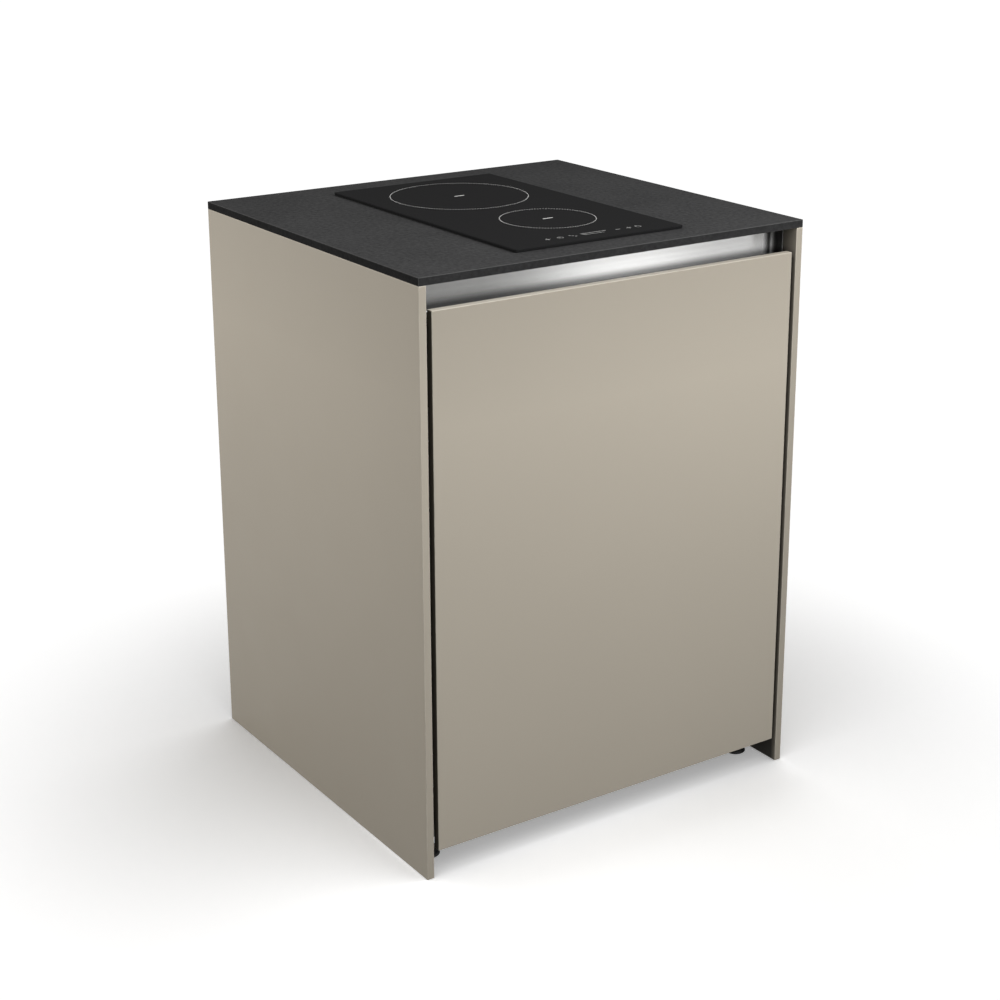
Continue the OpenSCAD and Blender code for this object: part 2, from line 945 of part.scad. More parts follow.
// Aluminium plate that carries both coils, on six posts over the casing's floor
module coil_carrier() {
    carrier_r = 6;
    color(steel)
        union() {
            translate([0, hob_y, carrier_z])
                linear_extrude(height = carrier_t)
                    difference() {
                        rounded_rect(case_w - 2*carrier_inset, case_d - 2*carrier_inset,
                            carrier_r);
                        translate([0, large_y - hob_y])
                            circle(large_eye_r);
                        translate([small_offset, small_y - hob_y])
                            circle(small_eye_r);
                    }
            at_carrier_pillars()
                translate([0, 0, case_floor])
                    cylinder(r = pillar_r, h = carrier_z - case_floor + carrier_t/2);
        }
}

// Ferrite bars laid out like spokes under the coils
module ferrite_bars() {
    module spokes(count, r_in, r_out, w) {
        for (i = [0:count - 1])
            rotate([0, 0, i*360/count])
                translate([r_in, -w/2, 0])
                    cube([r_out - r_in, w, ferrite_t]);
    }
    eye_margin = 10;
    tip_margin = 4;
    large_bar_w = 14;
    small_bar_w = 12;
    color([0.25, 0.25, 0.27])
        union() {
            translate([0, large_y, ferrite_z])
                spokes(8, large_eye_r + eye_margin, large_r - tip_margin, large_bar_w);
            translate([small_offset, small_y, ferrite_z])
                spokes(6, small_eye_r + eye_margin, small_r - tip_margin, small_bar_w);
        }
}

// A flat spiral winding: band of the given width at a steady pitch, r_in to r_out
module spiral_winding(r_in, r_out, turns) {
    steps = 20;
    pitch = (r_out - r_in)/(turns + 0.8);
    band = pitch*0.8;
    function at(i, extra) = (r_in + pitch*i/steps + extra)*[cos(i*360/steps), sin(i*360/steps)];
    n = turns*steps;
    linear_extrude(height = coil_t)
        polygon(concat([for (i = [0:n]) at(i, 0)], [for (i = [n:-1:0]) at(i, band)]));
}

module coil_large() {
    color([0.6, 0.35, 0.2])
        translate([0, large_y, coil_z])
            spiral_winding(large_eye_r + coil_eye_margin, large_r, 10);
}

module coil_small() {
    color([0.6, 0.35, 0.2])
        translate([small_offset, small_y, coil_z])
            spiral_winding(small_eye_r + coil_eye_margin, small_r, 6);
}

// Power electronics on four standoffs over the casing's floor
board_side = 100;
board_edge = 22;
board_rear = 94;
board_d = 220;
board_x0 = -case_w/2 + board_side;
board_x1 = case_w/2 - board_edge;
board_y1 = hob_y + case_d/2 - board_rear;
board_y0 = board_y1 - board_d;
board_up = 6;
pcb_t = 1.6;
board_z = case_floor + board_up;
board_top = board_z + pcb_t;
sink_w = 40;
sink_side = 8;
sink_end = 24;
sink_h = carrier_z - board_top - 4;

module power_board() {
    post_r = 3;
    post_in = 8;
    can_r = 9;
    can_h = 16;
    can_in = 16;
    can_front = 40;
    can_pitch = 30;
    choke_w = 34;
    choke_d = 30;
    choke_h = 15;
    choke_side = 10;
    choke_rear = 16;
    choke_x = board_x1 - choke_side - choke_w;
    choke_y = board_y1 - choke_rear - choke_d;
    color([0.1, 0.35, 0.2])
        union() {
            block([board_x0, board_y0, board_z], [board_x1, board_y1, board_top]);
            for (x = [board_x0 + post_in, board_x1 - post_in],
                y = [board_y0 + post_in, board_y1 - post_in])
                translate([x, y, case_floor])
                    cylinder(r = post_r, h = board_up);
            for (i = [0:2])
                translate([board_x1 - can_in, board_y0 + can_front + i*can_pitch, board_top])
                    cylinder(r = can_r, h = can_h);
            block([choke_x, choke_y, board_top],
                [choke_x + choke_w, choke_y + choke_d, board_top + choke_h]);
        }
}

// Extruded heat sink with a base and upright fins
module heat_sink() {
    fins = 8;
    fin_t = 1.6;
    sink_base = 3;
    fin_pitch = (sink_w - fin_t)/(fins - 1);
    color(steel)
        translate([board_x0 + sink_side, board_y1 - sink_end, board_top])
            rotate([90, 0, 0])
                linear_extrude(height = board_d - 2*sink_end)
                    union() {
                        square([sink_w, sink_base]);
                        for (i = [0:fins - 1])
                            translate([i*fin_pitch, 0])
                                square([fin_t, sink_h]);
                    }
}

// Touch control board held up against the glass, on two posts
module control_board() {
    control_w = 190;
    control_d = 26;
    control_r = 3;
    control_front = 20;
    control_y = hob_y - case_d/2 + control_front;
    control_z = glass_z - coil_gap - pcb_t;
    post_r = 3;
    post_end = 25;
    post_z = carrier_z + carrier_t;
    color([0.1, 0.3, 0.25])
        union() {
            translate([0, control_y, control_z])
                linear_extrude(height = pcb_t)
                    rounded_rect(control_w, control_d, control_r);
            for (s = [-1, 1])
                translate([s*(control_w/2 - post_end), control_y, post_z])
                    cylinder(r = post_r, h = control_z - post_z + pcb_t/2);
        }
}

// Fan
fan_wheel_r = 32;
fan_h = 22;
fan_side = 52;
fan_front = 114;
fan_x = -case_w/2 + fan_side;
fan_y = hob_y - case_d/2 + fan_front;
fan_wall = 1.5;
fan_pin_r = 2;
fan_hub_r = 11;
fan_duct = 14;

// Fan housing with a round chamber, an inlet over the casing's grille and an outlet
module fan_housing() {
    chamber_r = fan_wheel_r + 4;
    inlet_r = fan_wheel_r - 6;
    inlet_eye_r = 9;
    inlet_rib = 4;
    boss_r = 8;
    color(black)
        translate([fan_x, fan_y, case_floor])
            union() {
                difference() {
                    union() {
                        cylinder(r = chamber_r + fan_wall, h = fan_h);
                        block([-chamber_r - fan_wall, 0, 0], [0, chamber_r + fan_duct, fan_h]);
                    }
                    translate([0, 0, fan_wall])
                        cylinder(r = chamber_r, h = fan_h - 2*fan_wall);
                    block([-chamber_r, 0, fan_wall],
                        [-fan_wall, chamber_r + fan_duct + cut, fan_h - fan_wall]);
                    translate([0, 0, -cut])
                        grille_cut(inlet_r, inlet_eye_r, inlet_rib, fan_wall + 2*cut);
                }
                cylinder(r = boss_r, h = fan_wall + 4);
                cylinder(r = fan_pin_r, h = fan_h - 2*fan_wall - 1);
            }
}

// Radial fan wheel with a hub cup, a disc and blades curved like arcs
module fan_rotor() {
    blades = 13;
    blade_t = 1.4;
    blade_r = 13;
    blade_in = fan_wheel_r - 12;
    wheel_z0 = fan_wall + 5;
    wheel_h = fan_h - fan_wall - 1 - wheel_z0;
    disc_t = 1.2;
    color([0.2, 0.2, 0.22])
        translate([fan_x, fan_y, case_floor + wheel_z0])
            difference() {
                union() {
                    cylinder(r = fan_hub_r, h = wheel_h);
                    translate([0, 0, wheel_h - disc_t])
                        cylinder(r = fan_wheel_r, h = disc_t);
                    linear_extrude(height = wheel_h)
                        intersection() {
                            difference() {
                                circle(fan_wheel_r);
                                circle(blade_in);
                            }
                            for (i = [0:blades - 1])
                                rotate([0, 0, i*360/blades])
                                    translate([fan_wheel_r - 4, -blade_r])
                                        difference() {
                                            circle(blade_r + blade_t/2);
                                            circle(blade_r - blade_t/2);
                                            translate([-2*blade_r, -2*blade_r])
                                                square([4*blade_r, 2*blade_r]);
                                        }
                        }
                }
                translate([0, 0, -cut])
                    cylinder(r = fan_pin_r + fit, h = wheel_h - disc_t + cut);
            }
}

// Terminal box under the casing, with the gland for the supply cable
module terminal_box() {
    box_w = 60;
    box_d = 40;
    box_h = 17;
    box_r = 4;
    box_side = 50;
    box_rear = 44;
    lid_step = 3;
    gland_r = 7;
    gland_bore_r = 4.5;
    gland_out = 8;
    gland_l = 12;
    color(black)
        translate([-case_w/2 + box_side, hob_y + case_d/2 - box_rear, case_z - box_h])
            difference() {
                union() {
                    translate([0, 0, box_h/2])
                        linear_extrude(height = box_h/2)
                            rounded_rect(box_w, box_d, box_r);
                    linear_extrude(height = box_h/2)
                        rounded_rect(box_w - lid_step, box_d - lid_step, box_r);
                    translate([0, box_d/2 + gland_out, box_h/2])
                        rotate([90, 0, 0])
                            cylinder(r = gland_r, h = gland_l);
                }
                translate([0, box_d/2 + gland_out + cut, box_h/2])
                    rotate([90, 0, 0])
                        cylinder(r = gland_bore_r, h = gland_l + 4);
            }
}

// Pull-out front
module front_panel() {
    color(lacquer)
        difference() {
            translate([0, y_front + front_t/2, front_lift])
                softened_board(front_w, front_t, front_top - front_lift, arris_r);
            at_front_screws()
                cylinder(r = wood_screw_r + fit, h = front_t*bore_share);
        }
}

// Places of the four angle tabs that join the drawers to the front
module at_tabs() {
    for (side = [LEFT, RIGHT], z = [upper_z, lower_z])
        translate([side*(drawer_x - drawer_t), front_back_y, z + tab_up])
            mirror([side > 0 ? 1 : 0, 0, 0])
                children();
}

// Bores in the front for the tabs' screws, pointing to -Y
module at_front_screws() {
    at_tabs()
        for (z = tab_screw_zs)
            translate([tab_bore_at, 0, z])
                rotate([90, 0, 0])
                    children();
}

// Bores in the drawer sides for the tabs' screws, pointing outwards
module at_side_screws() {
    at_tabs()
        for (z = tab_screw_zs)
            translate([0, tab_bore_at, z])
                rotate([0, -90, 0])
                    children();
}

module front_brackets() {
    color(zinc)
        difference() {
            at_tabs()
                union() {
                    block([0, 0, 0], [tab_t, tab_leg, tab_h]);
                    block([0, 0, 0], [tab_leg, tab_t, tab_h]);
                }
            at_front_screws()
                translate([0, 0, -tab_t - cut])
                    cylinder(r = wood_screw_r + fit, h = tab_t + 2*cut);
            at_side_screws()
                translate([0, 0, -tab_t - cut])
                    cylinder(r = wood_screw_r + fit, h = tab_t + 2*cut);
        }
}

module front_screws() {
    color(zinc) {
        at_front_screws()
            translate([0, 0, -tab_t])
                screw(wood_screw_r, tab_t + front_t*screw_share, wood_screw_head_r, pan_head_h);
        at_side_screws()
            translate([0, 0, -tab_t])
                screw(wood_screw_r, tab_t + drawer_t*screw_share, wood_screw_head_r, pan_head_h);
    }
}

// One side of a drawer, grooved for the base and housed for the back
module drawer_side(side, z, h) {
    inner_x = drawer_x - drawer_t;
    base_z = z + base_up;
    color(board_grey)
        difference() {
            translate([side*(drawer_x - drawer_t/2), drawer_y1, z + h/2])
                rotate([90, 0, 0])
                    linear_extrude(height = drawer_d)
                        rounded_rect(drawer_t, h, arris_r);
            translate([side > 0 ? inner_x - cut : -inner_x - groove_d, drawer_y0 - cut, base_z])
                cube([groove_d + cut, drawer_d + 2*cut, base_t]);
            translate([side > 0 ? inner_x - cut : -inner_x - groove_d,
                drawer_y1 - back_end - drawer_t, base_z + base_t - fit])
                cube([groove_d + cut, drawer_t, h]);
            at_side_screws()
                cylinder(r = wood_screw_r + fit, h = drawer_t*bore_share);
            at_drawer_screws(side, z)
                cylinder(r = wood_screw_r + fit, h = drawer_t*bore_share);
        }
}

module drawer_back(z, h) {
    half = drawer_x - drawer_t + groove_d;
    back_y1 = drawer_y1 - back_end;
    color(board_grey)
        block([-half, back_y1 - drawer_t, z + base_up + base_t], [half, back_y1, z + h - back_drop]);
}

module drawer_base(z) {
    half = drawer_x - drawer_t + groove_d;
    color(board_grey)
        block([-half, drawer_y0, z + base_up], [half, drawer_y1, z + base_up + base_t]);
}

module upper_drawer_left() {
    drawer_side(LEFT, upper_z, upper_h);
}

module upper_drawer_right() {
    drawer_side(RIGHT, upper_z, upper_h);
}

module upper_drawer_back() {
    drawer_back(upper_z, upper_h);
}

module upper_drawer_base() {
    drawer_base(upper_z);
}

module lower_drawer_left() {
    drawer_side(LEFT, lower_z, lower_h);
}

module lower_drawer_right() {
    drawer_side(RIGHT, lower_z, lower_h);
}

module lower_drawer_back() {
    drawer_back(lower_z, lower_h);
}

module lower_drawer_base() {
    drawer_base(lower_z);
}

// Section of a runner's outer member: X from the cabinet side to the drawer, Y up
module outer_section() {
    reach = runner_t - runner_sheet - 1;
    union() {
        translate([0, -outer_half])
            square([runner_sheet, runner_h]);
        for (s = [-1, 1])
            translate([0, s*(outer_half - runner_sheet/2) - runner_sheet/2])
                square([reach, runner_sheet]);
    }
}

// Section of a runner's middle member
module middle_section() {
    reach = runner_t - runner_sheet - slide - middle_u;
    translate([middle_u, 0])
        union() {
            translate([0, -middle_half])
                square([runner_sheet, 2*middle_half]);
            for (s = [-1, 1])
                translate([0, s*(middle_half - runner_sheet/2) - runner_sheet/2])
                    square([reach, runner_sheet]);
        }
}

// Middles of the ball rows above and below a middle member's flanges, each with its gap
outer_row_v = middle_half + (ball_gap_outer - ball_clear)/2;
inner_row_v = middle_half - runner_sheet - (ball_gap_inner - ball_clear)/2;
ball_rows = [
    [outer_row_v, ball_gap_outer], [-outer_row_v, ball_gap_outer],
    [inner_row_v, ball_gap_inner], [-inner_row_v, ball_gap_inner]
];
ball_u = middle_u + runner_sheet + 2.8;

// The strips of a middle member's ball cages
module cage_section() {
    cage_w = 3.4;
    for (row = ball_rows) {
        h = row[1] - ball_clear;
        translate([ball_u - cage_w/2, row[0] - cage_t/2])
            square([cage_w, cage_t]);
        translate([middle_u + runner_sheet, row[0] - h/2])
            square([cage_t, h]);
        translate([middle_u + runner_sheet, row[0] - cage_t/2])
            square([ball_u - middle_u - runner_sheet, cage_t]);
    }
}

// The balls of a middle member, in rows between its own flanges and its neighbours'
module cage_balls(side, z) {
    pitch = (runner_l - 2*ball_setback)/(ball_count - 1);
    for (row = ball_rows, i = [0:ball_count - 1])
        translate([side*(cab_x - ball_u), runner_y0 + ball_setback + i*pitch,
            z + runner_up + row[0]])
            sphere(r = (row[1] - ball_clear)/2);
}

// Section of a runner's inner member, open towards the cabinet side
module inner_section() {
    reach = runner_t - middle_u - runner_sheet - slide;
    union() {
        translate([runner_t - runner_sheet, -inner_half])
            square([runner_sheet, 2*inner_half]);
        for (s = [-1, 1])
            translate([runner_t - reach, s*(inner_half - runner_sheet/2) - runner_sheet/2])
                square([reach, runner_sheet]);
    }
}

// Runs a runner section along Y on one side, at the given height
module runner_run(side, z, from, length) {
    translate([side*cab_x, runner_y0 + from + length, z + runner_up])
        mirror([side > 0 ? 1 : 0, 0, 0])
            rotate([90, 0, 0])
                linear_extrude(height = length)
                    children();
}

// Bores for the screws that hold the outer members on a cabinet side
module at_runner_screws(side) {
    for (z = [upper_z, lower_z], y = runner_screw_ys)
        translate([side*cab_x, runner_y0 + y, z + runner_up])
            rotate([0, side*90, 0])
                children();
}

// Bores for the screws that hold an inner member on a drawer side
module at_drawer_screws(side, z) {
    for (y = runner_screw_ys)
        translate([side*drawer_x, runner_y0 + y, z + runner_up])
            rotate([0, -side*90, 0])
                children();
}

module runner_outer(side, z) {
    color(zinc)
        difference() {
            runner_run(side, z, 0, runner_l)
                outer_section();
            at_runner_screws(side)
                translate([0, 0, -runner_sheet - cut])
                    cylinder(r = wood_screw_r + fit, h = runner_sheet + 2*cut);
        }
}

module runner_middle(side, z) {
    cage_from = ball_setback - cage_end;
    color(steel)
        union() {
            runner_run(side, z, 0, runner_l)
                middle_section();
            runner_run(side, z, cage_from, runner_l - 2*cage_from)
                cage_section();
            cage_balls(side, z);
        }
}

module runner_inner(side, z) {
    color(zinc)
        difference() {
            runner_run(side, z, 0, runner_l)
                inner_section();
            at_drawer_screws(side, z)
                translate([0, 0, -runner_sheet - cut])
                    cylinder(r = wood_screw_r + fit, h = runner_sheet + 2*cut);
        }
}

module upper_runner_outer_left() {
    runner_outer(LEFT, upper_z);
}

module upper_runner_outer_right() {
    runner_outer(RIGHT, upper_z);
}

module upper_runner_middle_left() {
    runner_middle(LEFT, upper_z);
}

module upper_runner_middle_right() {
    runner_middle(RIGHT, upper_z);
}

module upper_runner_inner_left() {
    runner_inner(LEFT, upper_z);
}

module upper_runner_inner_right() {
    runner_inner(RIGHT, upper_z);
}

module lower_runner_outer_left() {
    runner_outer(LEFT, lower_z);
}

module lower_runner_outer_right() {
    runner_outer(RIGHT, lower_z);
}

module lower_runner_middle_left() {
    runner_middle(LEFT, lower_z);
}

module lower_runner_middle_right() {
    runner_middle(RIGHT, lower_z);
}

module lower_runner_inner_left() {
    runner_inner(LEFT, lower_z);
}

module lower_runner_inner_right() {
    runner_inner(RIGHT, lower_z);
}

module runner_screws() {
    color(zinc)
        for (side = [LEFT, RIGHT])
            at_runner_screws(side)
                translate([0, 0, -runner_sheet])
                    wood_screw();
}

module drawer_screws() {
    color(zinc)
        for (side = [LEFT, RIGHT], z = [upper_z, lower_z])
            at_drawer_screws(side, z)
                translate([0, 0, -runner_sheet])
                    screw(wood_screw_r, runner_sheet + drawer_t*0.65, wood_screw_head_r,
                        wood_screw_head_h);
}

left_side_panel();
right_side_panel();
worktop();
cabinet_side_left();
cabinet_side_right();
cabinet_bottom();
rear_rail();
rear_panel();
cable_grommet();
heat_shield();
grip_channel();
worktop_brackets();
bracket_screws();
panel_screws();
rear_screws();
cabinet_dowels();
foot_sockets();
hob_glass();
hob_seal();
hob_case();
hob_clamps();
coil_carrier();
ferrite_bars();
coil_large();
coil_small();
power_board();
heat_sink();
control_board();
fan_housing();
fan_rotor();
terminal_box();
front_panel();
front_brackets();
front_screws();
upper_drawer_left();
upper_drawer_right();
upper_drawer_back();
upper_drawer_base();
lower_drawer_left();
lower_drawer_right();
lower_drawer_back();
lower_drawer_base();
upper_runner_outer_left();
upper_runner_outer_right();
upper_runner_middle_left();
upper_runner_middle_right();
upper_runner_inner_left();
upper_runner_inner_right();
lower_runner_outer_left();
lower_runner_outer_right();
lower_runner_middle_left();
lower_runner_middle_right();
lower_runner_inner_left();
lower_runner_inner_right();
runner_screws();
drawer_screws();
foot_front_left();
foot_front_right();
foot_rear_left();
foot_rear_right();
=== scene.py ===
# %% [markdown]
# # A small kitchen unit with an induction hob
# The unit is a free-standing cabinet: two lacquered side panels stand on the floor, a thin
# stone worktop lies on them, and one tall front pulls out two drawers. The construction comes
# ready made, at its real size, and never changes here. This script gives it its looks: the
# finish of every surface, and the small things that are modelled on top of it.
# All sizes are in metres. The front faces -Y and +Z is up.

import math

import bpy
from mathutils import Matrix, Vector


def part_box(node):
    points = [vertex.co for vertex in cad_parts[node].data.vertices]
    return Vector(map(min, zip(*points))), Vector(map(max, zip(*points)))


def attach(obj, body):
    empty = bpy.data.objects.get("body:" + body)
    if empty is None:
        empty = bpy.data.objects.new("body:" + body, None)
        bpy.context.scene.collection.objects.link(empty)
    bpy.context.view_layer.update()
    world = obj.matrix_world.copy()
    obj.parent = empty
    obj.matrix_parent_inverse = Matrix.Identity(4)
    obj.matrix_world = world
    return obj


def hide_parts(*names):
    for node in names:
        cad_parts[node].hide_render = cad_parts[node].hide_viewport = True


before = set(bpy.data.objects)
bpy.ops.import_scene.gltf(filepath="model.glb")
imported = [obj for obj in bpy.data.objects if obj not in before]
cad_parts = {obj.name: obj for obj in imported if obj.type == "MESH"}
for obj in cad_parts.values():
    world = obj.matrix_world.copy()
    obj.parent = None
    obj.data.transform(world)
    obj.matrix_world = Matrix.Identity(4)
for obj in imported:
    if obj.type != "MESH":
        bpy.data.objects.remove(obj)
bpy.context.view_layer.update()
MM = 0.001

# %% [markdown]
# ## The camera
# The photograph shows the front and the left side, a little from above. A camera is a place,
# a direction and a lens, so it is given as those: the place in metres, the direction as an
# azimuth and an elevation, and the lens in millimetres. The direction is turned into the
# camera's own three axes, because that leaves no doubt about which way is up.

# %% Place the camera
CAMERA_PLACE = Vector((-1.6419, -2.4678, 1.4914))
CAMERA_AZIMUTH = math.radians(-33.68)
CAMERA_ELEVATION = math.radians(16.857)
CAMERA_ROLL = math.radians(-0.175)
CAMERA_LENS = 70.03
CAMERA_SHIFT = -0.1


def camera_axes(azimuth, elevation, roll):
    """The camera's right, up and backward axes."""
    back = Vector((math.sin(azimuth) * math.cos(elevation),
                   -math.cos(azimuth) * math.cos(elevation), math.sin(elevation)))
    right = Vector((0, 0, 1)).cross(back).normalized()
    up = back.cross(right)
    turned_right = math.cos(roll) * right + math.sin(roll) * up
    turned_up = math.cos(roll) * up - math.sin(roll) * right
    return turned_right, turned_up, back


camera = bpy.data.objects.new("camera", bpy.data.cameras.new("camera"))
bpy.context.scene.collection.objects.link(camera)
axes = Matrix(camera_axes(CAMERA_AZIMUTH, CAMERA_ELEVATION, CAMERA_ROLL)).transposed()
camera.matrix_world = Matrix.Translation(CAMERA_PLACE) @ axes.to_4x4()
camera.data.lens = CAMERA_LENS
camera.data.shift_y = CAMERA_SHIFT
bpy.context.scene.camera = camera
bpy.context.scene.view_settings.view_transform = "Standard"
print("the camera stands", round(CAMERA_PLACE.length, 2), "m from the unit's foot")

# %% [markdown]
# ## Working by hand, in code
# Every modelling step below acts on what is selected, just as in the window. These helpers
# clear the selection, put the size of a new primitive into its mesh, pick faces by where they
# lie, and copy and join pieces.

# %% Helpers for modelling
import bmesh


def deselect():
    """Nothing is selected and object mode is on."""
    if bpy.context.mode != "OBJECT":
        bpy.ops.object.mode_set(mode="OBJECT")
    bpy.ops.object.select_all(action="DESELECT")


def named(name):
    """The object that was just added, with its place moved into its mesh and a name."""
    piece = bpy.context.active_object
    piece.name = name
    bpy.ops.object.transform_apply(location=True, rotation=True, scale=True)
    return piece


def pick(piece, test):
    """In edit mode, selects the faces whose middle and normal pass the test."""
    bpy.ops.mesh.select_mode(type="FACE")
    bpy.ops.mesh.select_all(action="DESELECT")
    mesh = bmesh.from_edit_mesh(piece.data)
    found = [face for face in mesh.faces if test(face.calc_center_median(), face.normal)]
    for face in found:
        face.select = True
    mesh.select_flush(True)
    bmesh.update_edit_mesh(piece.data)
    return len(found)


def edit(piece):
    """Opens one piece in edit mode."""
    deselect()
    bpy.context.view_layer.objects.active = piece
    piece.select_set(True)
    bpy.ops.object.mode_set(mode="EDIT")


def copy_at(piece, matrix):
    """A copy of a piece with its own mesh, moved by a matrix."""
    twin = piece.copy()
    twin.data = piece.data.copy()
    twin.data.transform(matrix)
    bpy.context.scene.collection.objects.link(twin)
    return twin


def join(pieces, name):
    """Joins pieces into one object."""
    deselect()
    for piece in pieces:
        piece.select_set(True)
    bpy.context.view_layer.objects.active = pieces[0]
    if len(pieces) > 1:
        bpy.ops.object.join()
    pieces[0].name = name
    return pieces[0]


print("helpers for modelling:", ", ".join(helper.__name__ for helper in (
    deselect, named, pick, edit, copy_at, join)))

# %% [markdown]
# ## Helpers for materials
# A finish is a small network of nodes. Every pattern here reads Object coordinates, which are
# metres in the unit's own frame, so a noise scale of 500 means a grain of two millimetres
# wherever the piece is. The helpers keep each finish down to the lines that matter.

# %% Helpers for materials
BLACK = (0.0, 0.0, 0.0)


class Finish:
    """A material under construction: its nodes, its links and its shader."""

    def __init__(self, name, roughness=0.5, metallic=0.0, specular=0.5):
        self.material = bpy.data.materials.new(name)
        self.material.use_nodes = True
        self.nodes = self.material.node_tree.nodes
        self.links = self.material.node_tree.links
        self.shader = self.nodes["Principled BSDF"]
        self.shader.inputs["Roughness"].default_value = roughness
        self.shader.inputs["Metallic"].default_value = metallic
        self.shader.inputs["Specular IOR Level"].default_value = specular
        self.place = self.nodes.new("ShaderNodeTexCoord").outputs["Object"]

    def axes(self):
        """The three coordinates, each by itself."""
        split = self.nodes.new("ShaderNodeSeparateXYZ")
        self.links.new(self.place, split.inputs["Vector"])
        return [split.outputs[axis] for axis in "XYZ"]

    def stretched(self, scale):
        """The coordinates, scaled along each axis."""
        mapping = self.nodes.new("ShaderNodeMapping")
        mapping.inputs["Scale"].default_value = scale
        self.links.new(self.place, mapping.inputs["Vector"])
        return mapping.outputs["Vector"]

    def noise(self, scale, detail=3, roughness=0.5, place=None):
        """A cloudy noise between 0 and 1."""
        node = self.nodes.new("ShaderNodeTexNoise")
        node.inputs["Scale"].default_value = scale
        node.inputs["Detail"].default_value = detail
        node.inputs["Roughness"].default_value = roughness
        self.links.new(place or self.place, node.inputs["Vector"])
        return node.outputs["Fac"]

    def cells(self, scale, feature="F1"):
        """The distance to the nearest of many scattered points, or to the edges between them."""
        node = self.nodes.new("ShaderNodeTexVoronoi")
        node.feature = feature
        node.inputs["Scale"].default_value = scale
        self.links.new(self.place, node.inputs["Vector"])
        return node.outputs["Distance"]

    def math(self, operation, first, second=None):
        """One step of arithmetic on values or sockets."""
        node = self.nodes.new("ShaderNodeMath")
        node.operation = operation
        for socket, value in zip(node.inputs, (first, second)):
            if value is None:
                continue
            if isinstance(value, (int, float)):
                socket.default_value = value
            else:
                self.links.new(value, socket)
        return node.outputs["Value"]

    def ramp(self, factor, low, high, start=0.0, end=1.0):
        """Low where the factor is at its start, high where it is at its end, and even between."""
        node = self.nodes.new("ShaderNodeMapRange")
        node.inputs["From Min"].default_value = start
        node.inputs["From Max"].default_value = end
        node.inputs["To Min"].default_value = low
        node.inputs["To Max"].default_value = high
        self.links.new(factor, node.inputs["Value"])
        return node.outputs["Result"]

    def blend(self, factor, first, second):
        """Two colours, mixed by a factor."""
        node = self.nodes.new("ShaderNodeMix")
        node.data_type = "RGBA"
        for socket, value in ((node.inputs["Factor"], factor), (node.inputs[6], first),
                              (node.inputs[7], second)):
            if isinstance(value, (int, float)):
                socket.default_value = value
            elif isinstance(value, tuple):
                socket.default_value = (*value, 1.0)
            else:
                self.links.new(value, socket)
        return node.outputs[2]

    def colour(self, socket):
        """The surface takes its colour from a socket."""
        self.links.new(socket, self.shader.inputs["Base Color"])

    def gloss(self, socket):
        """The surface takes its roughness from a socket."""
        self.links.new(socket, self.shader.inputs["Roughness"])

    def relief(self, height, depth, strength=1.0):
        """A bump of the given depth in metres."""
        node = self.nodes.new("ShaderNodeBump")
        node.inputs["Strength"].default_value = strength
        node.inputs["Distance"].default_value = depth
        self.links.new(height, node.inputs["Height"])
        self.links.new(node.outputs["Normal"], self.shader.inputs["Normal"])

    def edges(self, low, high, width):
        """1 on the edges of a box and 0 from the given width inwards."""
        middle = (Vector(low) + Vector(high)) / 2
        half = (Vector(high) - Vector(low)) / 2
        offset = self.vector("SUBTRACT", self.place, middle)
        depth = self.vector("SUBTRACT", half, self.vector("ABSOLUTE", offset))
        near = self.vector("MULTIPLY", depth, Vector((1 / width,) * 3))
        split = self.nodes.new("ShaderNodeSeparateXYZ")
        self.links.new(near, split.inputs["Vector"])
        x, y, z = [self.ramp(split.outputs[axis], 1.0, 0.0) for axis in "XYZ"]
        pairs = [self.math("MULTIPLY", a, b) for a, b in ((x, y), (y, z), (x, z))]
        return self.math("MAXIMUM", self.math("MAXIMUM", pairs[0], pairs[1]), pairs[2])

    def vector(self, operation, first, second=None):
        """One step of arithmetic on vectors."""
        node = self.nodes.new("ShaderNodeVectorMath")
        node.operation = operation
        for socket, value in zip(node.inputs, (first, second)):
            if isinstance(value, Vector):
                socket.default_value = value
            elif value is not None:
                self.links.new(value, socket)
        return node.outputs["Vector"]


dressed = set()


def dress(finish, *nodes):
    """Gives a finish to the construction's own pieces."""
    for name in nodes:
        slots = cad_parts[name].data.materials
        slots.clear()
        slots.append(finish.material)
    dressed.update(nodes)
    print(finish.material.name, "is on", ", ".join(nodes))


print("the construction has", len(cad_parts), "named pieces")
